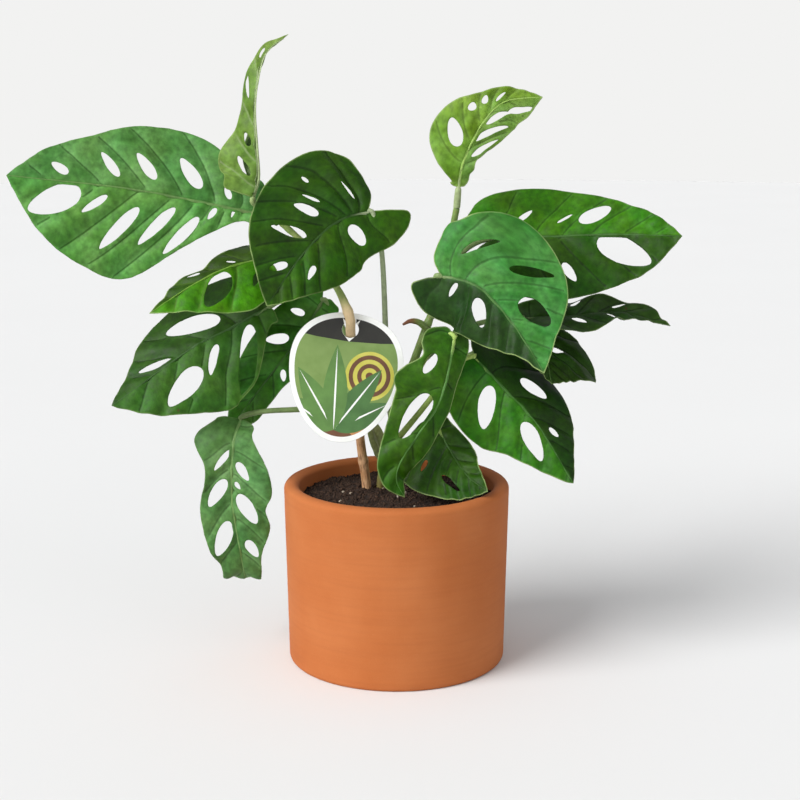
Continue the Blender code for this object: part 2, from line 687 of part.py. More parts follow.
def drop_scraps(mesh):
    """Leaves only the largest of a mesh's connected bodies."""
    work = bmesh.new()
    work.from_mesh(mesh)
    waiting = set(work.verts)
    bodies = []
    while waiting:
        body = {waiting.pop()}
        edge = list(body)
        while edge:
            near = {e.other_vert(v) for v in edge for e in v.link_edges}
            edge = list(near - body)
            body |= near
        waiting -= body
        bodies.append(body)
    bodies.sort(key=len)
    for body in bodies[:-1]:
        bmesh.ops.delete(work, geom=list(body), context="VERTS")
    work.to_mesh(mesh)
    work.free()


def combine(obj, other, operation):
    """One Boolean of obj with other, applied."""
    cut = obj.modifiers.new(operation.lower(), "BOOLEAN")
    cut.object = other
    cut.operation = operation
    cut.solver = "EXACT"
    mesh = evaluated_mesh(obj)
    obj.modifiers.clear()
    obj.data = mesh


def material(name, colour, roughness):
    made = bpy.data.materials.get(name)
    if made is None:
        made = bpy.data.materials.new(name)
        made.use_nodes = True
        shader = made.node_tree.nodes["Principled BSDF"]
        shader.inputs["Base Color"].default_value = (*colour, 1.0)
        shader.inputs["Roughness"].default_value = roughness
    return made


def finish_node(obj, finish, smooth_angle=40):
    """Gives a finished solid its material and shading, and puts it with the plant's nodes."""
    obj.data.materials.clear()
    obj.data.materials.append(finish)
    obj.data.shade_smooth()
    obj.data.set_sharp_from_angle(angle=math.radians(smooth_angle))
    obj.hide_render = False
    obj.display_type = "TEXTURED"
    for collection in list(obj.users_collection):
        collection.objects.unlink(obj)
    return link(obj, "potted_monstera")


def stem_solid(stem, extra=0.0):
    """A stem with its spurs, thickened by extra."""
    solid = tube(stem["name"], smooth_path(stem["path"], STEM_STEP), stem["radii"], extra)
    for spur in stem["spurs"]:
        piece = tube(stem["name"] + "_spur", smooth_path(spur["path"], STEM_STEP / 2), spur["radii"], extra)
        combine(solid, piece, "UNION")
        bpy.data.objects.remove(piece)
    return solid


def leaf_node(leaf, stem_guides, finish):
    """A blade with its holes and midrib, fused to its stalk, and cut clear of the stem that it grows from."""
    blade = Blade(leaf)
    mesh, rib_share = blade_sheet(blade)
    solid = link(bpy.data.objects.new(leaf.name, mesh), "helpers")
    ribs = solid.vertex_groups.new(name="rib")
    for index, share in enumerate(rib_share):
        ribs.add([index], share, "REPLACE")
    wall = solid.modifiers.new("thickness", "SOLIDIFY")
    wall.thickness = RIB_THICKNESS * MM
    wall.offset = 0.0
    wall.vertex_group = "rib"
    wall.thickness_vertex_group = BLADE_THICKNESS / RIB_THICKNESS
    solid.data = evaluated_mesh(solid)
    solid.modifiers.clear()
    base, ahead, _, _ = blade.frame(0.0)
    into, _, _, _ = blade.frame(STALK_INTO_BLADE)
    path = smooth_path([*leaf.stalk, base - ahead * STALK_RUN_IN, into], STALK_STEP)
    stalk = tube(leaf.name + "_stalk", path, (STALK_FOOT_RADIUS, STALK_NECK_RADIUS))
    combine(solid, stalk, "UNION")
    bpy.data.objects.remove(stalk)
    for guide in stem_guides:
        combine(solid, guide, "DIFFERENCE")
    drop_scraps(solid.data)
    return finish_node(solid, finish)


def pot_node(finish):
    """The pot turned from its profile, down the outside and up the inside, with its drain holes cut."""
    inner_rim = POT_RIM_RADIUS - POT_WALL
    inner_floor = POT_FOOT_RADIUS - POT_WALL
    profile = [
        (POT_RIM_RADIUS, POT_HEIGHT - POT_RIM_ROUND),
        (POT_FOOT_RADIUS, POT_FOOT_BEVEL),
        (POT_FOOT_RADIUS - 0.8 * POT_FOOT_BEVEL, 0.0),
        (0.0, 0.0),
    ]
    inside_profile = [
        (0.0, POT_FLOOR),
        (inner_floor - POT_CORNER, POT_FLOOR),
        (inner_floor, POT_FLOOR + POT_CORNER),
        (inner_rim, POT_HEIGHT - POT_RIM_ROUND),
    ]
    half_wall = POT_WALL / 2
    rim = []
    for i in range(1, RIM_POINTS + 1):
        turn = math.pi * i / (RIM_POINTS + 1)
        radius = POT_RIM_RADIUS - half_wall + half_wall * math.cos(turn)
        rim.append((radius, POT_HEIGHT - POT_RIM_ROUND + POT_RIM_ROUND * math.sin(turn)))
    line = inside_profile + rim[::-1] + profile
    solid = turned("pot", line, POT_SIDES, finish)
    for i in range(DRAIN_HOLES):
        turn = math.tau * i / DRAIN_HOLES
        x, y = DRAIN_CIRCLE * math.cos(turn), DRAIN_CIRCLE * math.sin(turn)
        drill = tube("drill", ((x, y, -POT_FLOOR), (x, y, 2 * POT_FLOOR)), (DRAIN_RADIUS, DRAIN_RADIUS))
        combine(solid, drill, "DIFFERENCE")
        bpy.data.objects.remove(drill)
    return finish_node(solid, finish)


def turned(name, profile, sides, finish):
    """A solid of revolution about Z, from (radius, height) points that start and end on the axis."""
    mesh = bpy.data.meshes.new(name)
    edges = [(i, i + 1) for i in range(len(profile) - 1)]
    mesh.from_pydata([(r * MM, 0.0, z * MM) for r, z in profile], edges, [])
    solid = link(bpy.data.objects.new(name, mesh), "helpers")
    screw = solid.modifiers.new("turn", "SCREW")
    screw.steps = sides
    screw.render_steps = sides
    screw.use_merge_vertices = True
    screw.merge_threshold = 1e-5
    solid.data = evaluated_mesh(solid)
    solid.modifiers.clear()
    return finish_node(solid, finish)


def soil_height(x, y):
    """The soil's top: a low mound with lumps."""
    radius = math.hypot(x, y)
    mound = SOIL_MOUND * (1 - (radius / (POT_RIM_RADIUS - POT_WALL)) ** 2)
    lump = SOIL_LUMP * noise.noise(Vector((x, y, 0.0)) / SOIL_LUMP_SIZE)
    return SOIL_TOP + mound + lump


def soil_node(stems, finish):
    """The soil that fills the pot, with a lumpy top and a socket for each stem."""
    radius_low = POT_FOOT_RADIUS - POT_WALL - TOUCH_GAP
    radius_top = POT_RIM_RADIUS - POT_WALL - 2 * TOUCH_GAP
    floor = POT_FLOOR + TOUCH_GAP
    profile = [(radius_top * i / SOIL_RINGS, SOIL_TOP) for i in range(SOIL_RINGS + 1)]
    profile += [(radius_low, floor + POT_CORNER), (radius_low - POT_CORNER, floor), (0.0, floor)]
    solid = turned("soil", profile, SOIL_SIDES, finish)
    for vertex in solid.data.vertices:
        x, y, z = vertex.co / MM
        if z > SOIL_TOP - 1:
            vertex.co.z = soil_height(x, y) * MM
    for stem in stems:
        guide = stem_solid(stem, TOUCH_GAP)
        combine(solid, guide, "DIFFERENCE")
        bpy.data.objects.remove(guide)
    return finish_node(solid, finish)


def tag_outline(points):
    """A rounded shield, a little wider above than below, as (right, up) from the hole."""
    half_height = (TAG_ABOVE + TAG_BELOW) / 2
    line = []
    for i in range(points):
        turn = math.tau * i / points
        across, up = math.cos(turn), math.sin(turn)
        wide = TAG_HALF_WIDTH * math.copysign(abs(across) ** TAG_ROUNDNESS, across) * (1 + TAG_TAPER * up)
        high = half_height * math.copysign(abs(up) ** TAG_ROUNDNESS, up)
        line.append((wide, high + TAG_ABOVE - half_height))
    return line


def tag_place():
    """The matrix that hangs the card: X to its right, Y up it and Z out of its printed face."""
    up = -Vector(TAG_DOWN).normalized()
    right = up.cross(Vector((0, 1, 0))).normalized() * -1
    turned_axes = Matrix((right, up, right.cross(up))).transposed().to_4x4()
    return Matrix.Translation(Vector(TAG_HOLE) * MM) @ turned_axes


def tag_node(finish):
    """The name tag, a flat card with a round hole for the stem."""
    curve = bpy.data.curves.new("name_tag", "CURVE")
    curve.dimensions = "2D"
    curve.fill_mode = "BOTH"
    curve.extrude = TAG_THICKNESS / 2 * MM
    circle = [math.tau * i / TAG_HOLE_POINTS for i in range(TAG_HOLE_POINTS)]
    hole = [(TAG_HOLE_RADIUS * math.cos(turn), TAG_HOLE_RADIUS * math.sin(turn)) for turn in circle]
    for line in (tag_outline(TAG_POINTS), hole):
        spline = curve.splines.new("POLY")
        spline.points.add(len(line) - 1)
        spline.use_cyclic_u = True
        for point, (x, y) in zip(spline.points, line):
            point.co = (x * MM, y * MM, 0.0, 1.0)
    drawn = link(bpy.data.objects.new("name_tag_curve", curve), "helpers")
    mesh = evaluated_mesh(drawn)
    bpy.data.objects.remove(drawn)
    mesh.transform(tag_place())
    return finish_node(link(bpy.data.objects.new("name_tag", mesh), "helpers"), finish)


def main():
    for obj in list(bpy.data.objects):
        bpy.data.objects.remove(obj)
    for name in ("potted_monstera", "helpers"):
        collection = bpy.data.collections.new(name)
        bpy.context.scene.collection.children.link(collection)
    terracotta = material("terracotta", (0.56, 0.20, 0.07), 0.8)
    earth = material("potting_soil", (0.03, 0.018, 0.012), 0.95)
    green = material("leaf_green", (0.04, 0.17, 0.03), 0.4)
    light_green = material("leaf_young", (0.16, 0.32, 0.03), 0.4)
    pot_node(terracotta)
    soil_node((WOODY_STEM, GREEN_STEM), earth)
    guides = []
    for stem in (WOODY_STEM, GREEN_STEM):
        bark = material(stem["name"], stem["colour"], 0.7)
        guides.append(stem_solid(stem, TOUCH_GAP))
        guides[-1].name = stem["name"] + "_guide"
        finish_node(stem_solid(stem), bark)
    for leaf in LEAVES:
        leaf_node(leaf, guides, light_green if leaf.young else green)
    tag_node(material("printed_card", (0.30, 0.45, 0.18), 0.35))
    for guide in guides:
        bpy.data.objects.remove(guide)


main()
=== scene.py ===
"""The looks of a potted Monstera adansonii: fine leaves, stalks, stems, soil, pot and tag round the fixed
frame.

Sizes and places are in millimetres and are turned to metres by MM where a mesh is made. The pot stands on
Z = 0 with its axis on the Z axis, +X is to the right of the plant seen from the front, and the front is
-Y.
"""

import math
from typing import NamedTuple

import bpy
import numpy as np
from mathutils import Matrix, Vector, noise
from mathutils.geometry import delaunay_2d_cdt


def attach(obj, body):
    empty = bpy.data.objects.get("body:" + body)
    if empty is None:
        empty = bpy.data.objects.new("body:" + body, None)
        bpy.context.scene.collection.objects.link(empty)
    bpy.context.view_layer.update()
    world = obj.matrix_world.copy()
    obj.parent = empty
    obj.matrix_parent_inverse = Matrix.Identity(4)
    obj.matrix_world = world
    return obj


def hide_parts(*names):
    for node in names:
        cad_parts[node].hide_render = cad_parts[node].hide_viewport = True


MM = 0.001
TINY = 1e-9  # in place of a length of nought, where one is divided by
MERGE_DISTANCE = 1e-4  # between points of a plan that count as one
NOISE_SHIFT = (17.3, 5.1, 29.7)  # how far a seed moves the noise along each axis
USUAL_NOISE = (0.3, 0.7)  # the range that most values of a shader's noise lie in

# Settings that several nodes have
SMOOTH = {"interpolation_type": "SMOOTHSTEP"}
COLOURS = {"data_type": "RGBA"}
PRODUCT = {"operation": "MULTIPLY", "use_clamp": True}
SUM = {"operation": "MULTIPLY_ADD"}  # the first two values multiplied, and the third added

# Pot
POT_HEIGHT = 114.0
POT_RIM_RADIUS = 70.8
POT_FOOT_RADIUS = 68.6
POT_WALL = 9.5
POT_FLOOR = 10.0
POT_RIM_ROUND = 3.6
POT_FOOT_BEVEL = 2.5
POT_CORNER = 4.0
POT_SIDES = 160
POT_WALL_STEP = 3.0  # between the points of its profile, up the wall
POT_WAVE = 0.22  # how far the wheel left the wall out of true
RIM_POINTS = 14
CORNER_POINTS = 6
BEVEL_POINTS = 5
BEVEL_SHARE = 0.8  # how far in the foot's bevel runs for its height
WAVE_LENGTHS = (60.0, 9.0)  # round the pot and up it
WAVE_FROM = 6.0  # above the surface that the pot stands on
DRAIN_HOLES = 3
DRAIN_RADIUS = 4.0
DRAIN_CIRCLE = 24.0
DRAIN_SIDES = 32
POT_SHARP_ANGLE = 50.0

# Soil
SOIL_TOP = 103.5
SOIL_MOUND = 2.0
SOIL_CLEARANCE = 0.5  # to the pot
SOIL_LUMP = 1.6
SOIL_LUMP_SIZE = 9.0
SOIL_SIDES = 120
SOIL_RINGS = 44
SOIL_SHARP_ANGLE = 60.0
SOIL_GRAINS = ((4.2, 0.9), (1.8, 0.45))  # size and height of its finer lumps
GRAIN_LEVEL = 7.0
CRUMBS_PER_AREA = 0.26  # in each square millimetre
CRUMB_SIZE = (0.45, 1.5)
PERLITE_PER_AREA = 0.0028
PERLITE_SIZE = (0.7, 1.35)
LEAST_SQUASH = (0.7, 0.7, 0.45)  # of a crumb, against a ball
MOST_SQUASH = (1.25, 1.1, 0.9)
CRUMB_RELIEF = (0.9, 1.4)  # depth and size

# Leaf blades
STATIONS = (0.06, 0.25, 0.45, 0.65, 0.84)  # shares of the midrib's length where half widths are given
VEIN_RAKE = 0.75  # how far a side vein runs towards the tip for each unit outwards, a third of the way up
RAKE_AT_BASE = 0.7  # the share of it at the base
VEIN_GROWTH = 1.1  # how the rake grows along the midrib, for the whole of its length
VEIN_FAN = 1.6  # how much less it does so at the base, where the veins fan back into the lobes
FAN_SHARE = 0.11  # the share of the midrib over which that fan dies away
VEIN_BEND = 0.30  # how much more a side vein leans towards the tip near the edge
GAP_STEP = 0.15  # the share of the midrib between two side veins where a leaf gives only one gap
LOBE_KNOTS = ((0.25, 0.95), (0.6, 0.82), (0.88, 0.36))  # the edge behind the base: shares of width and lobe
TIP_KNOT = (0.4, 0.945)  # the edge just before the tip: shares of the last half width and the length
END_LEAN = 0.3  # how strongly the edge's curve leads into the notch and the tip
PLEAT_REACH = 1.15
CURVE_STEPS = 16  # points between two of a path's own, before they are spaced evenly
RIB_STEP = 2.0
EDGE_POINTS = 9  # points between two knots of a blade's edge
HOLE_POINTS = 30
HOLE_EGG = 0.2  # how much wider a hole is near the midrib than near the edge
BRIDGE = 1.7  # the least width of the blade outside a hole
RIB_BRIDGE = 1.9  # and between the midrib's line and a hole
VEIN_FOLLOW = 0.7  # how far the veins turn with the hole between them
MOST_TURN = 35.0  # in degrees, past which they turn no further
WAVE_STARTS = (1.3, 0.4)  # where in its wave the left and the right edge start
RIPPLE = 0.4  # how far the edge strays from its smooth line
HOLE_RIPPLE = 0.3
RIPPLE_SIZE = 6.0
RIPPLE_FADE = 3.0  # from the midrib, within which the ripples die away
RIPPLE_SEED = 3.0
MESH_STEP = 1.7  # between the points inside a blade
LINE_CLEARANCE = 0.75  # between those points and the edge, the holes and the veins
RIB_CLEARANCE = 1.4  # between the midrib's line and the side veins
VEIN_SPAN = (0.02, 1.15)  # where a side vein's line starts and ends, in half widths
VEIN_STEP = 2.4  # between the points of a side vein
VEIN_SIDE = 0.75  # from a side vein's line to the foot of its groove
RIB_SIDES = (-1.0, -0.5, 0.5, 1.0)  # from the midrib's line to the sides and the feet of its groove
HALF_THICKNESS = 0.27
EDGE_THINNING = 0.5
THIN_EDGE = 0.8  # how far in the blade is thinner
RELIEF_FADE = 2.0  # from the margin, within which puckers and grooves die away
VEIN_GROOVE = 0.4
VEIN_GROOVE_WIDTH = 0.7
VALLEY = 1.0  # how deep the blade dips along its side veins, between the quilted bulges
VALLEY_WIDTH = 2.6
VALLEY_FADE = 3.0
RIB_GROOVE = 0.5
RIB_GROOVE_WIDTH = 1.0
RIB_TAPER = 0.7  # how much of it the midrib's groove loses on the way to the tip
RIDGE_SHARE = 0.8  # how far a groove above stands out below
HALF_BLEND = 1.5  # over which the green of one half, with its painted shade or light, turns to the other's, at each side of the midrib
PUCKER = 0.65
PUCKER_SIZE = 7.5
RIM_BULGE = 0.2
NEAR = 5.0  # distances to veins and edges are kept up to this

# Leaf skin: the sizes of its patterns, and where each line starts to fade, where it is gone, and its strength
PATCH_SIZE = 15.0
MOTTLE_SIZE = 3.4
TURN_SIZE = 24.0  # of the patches where the green turns yellower or bluer
NET_SIZE = 2.4
FACES_APART = 0.5  # in metres, between the patterns of a blade's two faces
# Painted highlight: lighter green beside each side vein, where the quilted bulges would catch the light
VEIN_SIDE_HIGHLIGHT = (0.7, 2.8, 0.6)
# Painted shade: a dark line down each side vein's groove
VEIN_GROOVE_SHADE = (0.15, 0.85, 0.75)
VEIN_PALE_LINE = (0.2, 0.9, 0.8)
# Painted shade: darker green along both sides of the sunken midrib
RIB_SHADE = (0.9, 2.4, 0.45)
RIB_LINE = (0.35, 1.1, 0.9)
MARGIN_LINE = (0.15, 0.7, 0.9)
SPECK_SPACING = 22.0
SPECK_SPOT = (0.025, 0.05, 0.9)  # in shares of that spacing
SPECKS_SKIPPED = 0.72  # the share of them that is left out

# Stalks and stems
STALK_FOOT_RADIUS = 2.1
STALK_NECK_RADIUS = 1.45
STALK_INTO_BLADE = 7.0
STALK_RUN_IN = 1.5  # how far before the blade's base a stalk is in line with the midrib
KNEE_LENGTH = 12.0  # the swollen joint just under the blade
KNEE_SWELL = 0.14
YOUNG_RIB = 0.72  # how thick a young leaf's midrib is against an old one's
RIB_TIP_RADIUS = 0.3
RIB_REACH = 0.97  # the share of the blade that the raised midrib reaches
RIB_THINS = 0.7  # the power by which it thins: under 1, it does so soonest near the base
FULL_RIB_LENGTH = 70.0  # a shorter blade's midrib is thinner by as much as it is shorter
RIB_SUNK = 0.7  # how far into the blade's half thickness it is sunk
STALK_TINT_LENGTH = 12.0  # over which the stalk's green turns to the midrib's
STALK_RELIEF = (0.08, 2.5)  # depth and size
TUBE_STEP = 1.6
TUBE_SIDES = 14
STEM_SIDES = 22
STEM_NODES = (0.17, 0.34, 0.5, 0.64, 0.8, 0.92)  # shares of a stem where a leaf scar rings it
NODE_SWELL = 0.5
STEM_RADIUS = 3.0  # where a node swells by all of that
NODE_LENGTH = 2.2
STEM_RELIEF = (0.3, 3.0)

# Stem skins: the levels where a look starts and where it is whole
BARK_PALE = (192.0, 204.0)
BARK_GREEN = (222.0, 236.0)
CORK_TOP = (105.0, 125.0)  # there the green stem's corky look goes over into green
SPUR_TIP = (8.0, 16.0)  # from the plant's middle, the dry end of the spur
SPUR_LEVEL = 200.0  # above which the spur is

# Name tag: a card that hangs with the woody stem through its hole
TAG_HOLE = (-28.0, -12.0, 212.0)
TAG_DOWN = (-0.12, -0.2, -0.97)
TAG_ABOVE = 10.0
TAG_BELOW = 69.0
TAG_HALF_WIDTH = 34.0
TAG_THICKNESS = 1.0
TAG_HOLE_RADIUS = 5.2
TAG_TAPER = 0.2
TAG_ROUNDNESS = 0.94
TAG_POINTS = 96
TAG_HOLE_POINTS = 40
TAG_BORDER = 3.2
TAG_EYELET = 1.2  # bare card round the hole
TAG_BULGE = 0.12
TAG_SHARP_ANGLE = 40.0
RINGS_PLACE = (15.0, -27.0)
RINGS_RADIUS = 15.0
FIRST_RING = 2.4
RING_STEP = 2.6
RING_POINTS = 36
RINGS = 5
HILLS = (((-6.0, -72.0), 34.0, 20.0, 6), ((-10.0, -76.0), 25.0, 18.0, 5))  # place, half sizes and ink
FAN_FOOT = (-3.0, -62.0)
FAN = ((-62, 36), (58, 38), (-36, 44), (32, 47), (-4, 52))  # lean in degrees and length of each printed leaf
FAN_LEAF_POINTS = 15
FAN_LEAF_HALF = 7.5
FAN_RIB_HALF = 0.55
BAND = ((-45, -3.5), (-20, -6.5), (0, -7.5), (20, -6.5), (45, -3.5), (45, 20), (-45, 20))

# Stage
STAGE_RADIUS = 5000.0
STAGE_SIDES = 96
DOME_RINGS = 25
DOME_BELOW = 50.0  # how far its foot lies under the floor
SKY_STRENGTH = 0.5
LIGHTS = (
    ("key_light", (-1.7, -1.2, 1.5), 3.4, 38.0),
    ("fill_light", (1.0, -1.6, 0.7), 0.3, 60.0),
)  # the way that it comes from, its strength, and how wide it looks, in degrees

# Camera
CAMERA_PLACE = (2.2, -942.0, 359.0)
CAMERA_PITCH = -11.6
CAMERA_LENS = 69.4
SENSOR_WIDTH = 36.0

WOODY_STEM = {
    "name": "woody_stem",
    "path": (
        (-19, 14, 84), (-19, 14, 105), (-23, 12, 138), (-25, 9, 170), (-27, 4, 192), (-28, -4, 204),
        (-28, -12, 212), (-28, -17, 219), (-31, -16, 228), (-36, -10, 237), (-45, -3, 249), (-58, 5, 264),
        (-72, 7, 276), (-80, 6, 283),
    ),
    "radii": (3.0, 3.0, 2.9, 2.8, 2.7, 2.8, 3.1, 2.9, 1.9, 1.9, 1.8, 1.8),
    "spurs": (),
}
GREEN_STEM = {
    "name": "green_stem",
    "path": (
        (-10, 15, 84), (-10, 15, 106), (-5, 12, 138), (3, 10, 165), (14, 10, 197), (25, 12, 228),
        (32, 12, 258), (37, 9, 284),
    ),
    "radii": (3.0, 3.0, 2.9, 2.8, 2.6, 2.4, 2.2, 2.0, 2.0),
    "spurs": (
        {"path": ((20, 10, 207), (15, 6, 213), (9, 3, 215), (4, 1, 213)), "radii": (1.8, 2.2, 1.7, 0.7)},
    ),
}


class Side(NamedTuple):
    """One side of a blade. Widths are half widths at the stations, which are shares of the midrib's length,
    and lobe is how far the edge reaches back behind the base. Fold and curl are in degrees: fold is how far
    the half stands up at the midrib, and curl is how far it bends down from there to its edge. Gaps are the
    stretches between two side veins, each as the values of a Gap.
    """

    lobe: float
    widths: tuple
    gaps: tuple
    fold: float = 0.0
    curl: float = 20.0
    rake: float = VEIN_RAKE
    stations: tuple = STATIONS


class Gap(NamedTuple):
    """A stretch between two side veins: the share of the midrib's length at which it starts and, where it
    has a hole, how far out the hole's centre is, its length, its width, and the degrees that it turns from
    the vein lines towards the tip.
    """

    start: float
    centre: float = 0.0
    length: float = 0.0
    width: float = 0.0
    turn: float = 0.0


class Leaf(NamedTuple):
    """A leaf. Left and right are as seen from above with the tip pointing away. The midrib runs from the
    blade's base to its tip, facing is where the upper face looks from the base to the tip, and the stalk
    runs from the stem to the base. Wave and pleat are how far the edge waves and the blade puckers between
    its side veins.
    """

    name: str
    midrib: tuple
    facing: tuple
    left: Side
    right: Side
    stalk: tuple
    wave: float = 1.5
    pleat: float = 0.7
    young: bool = False


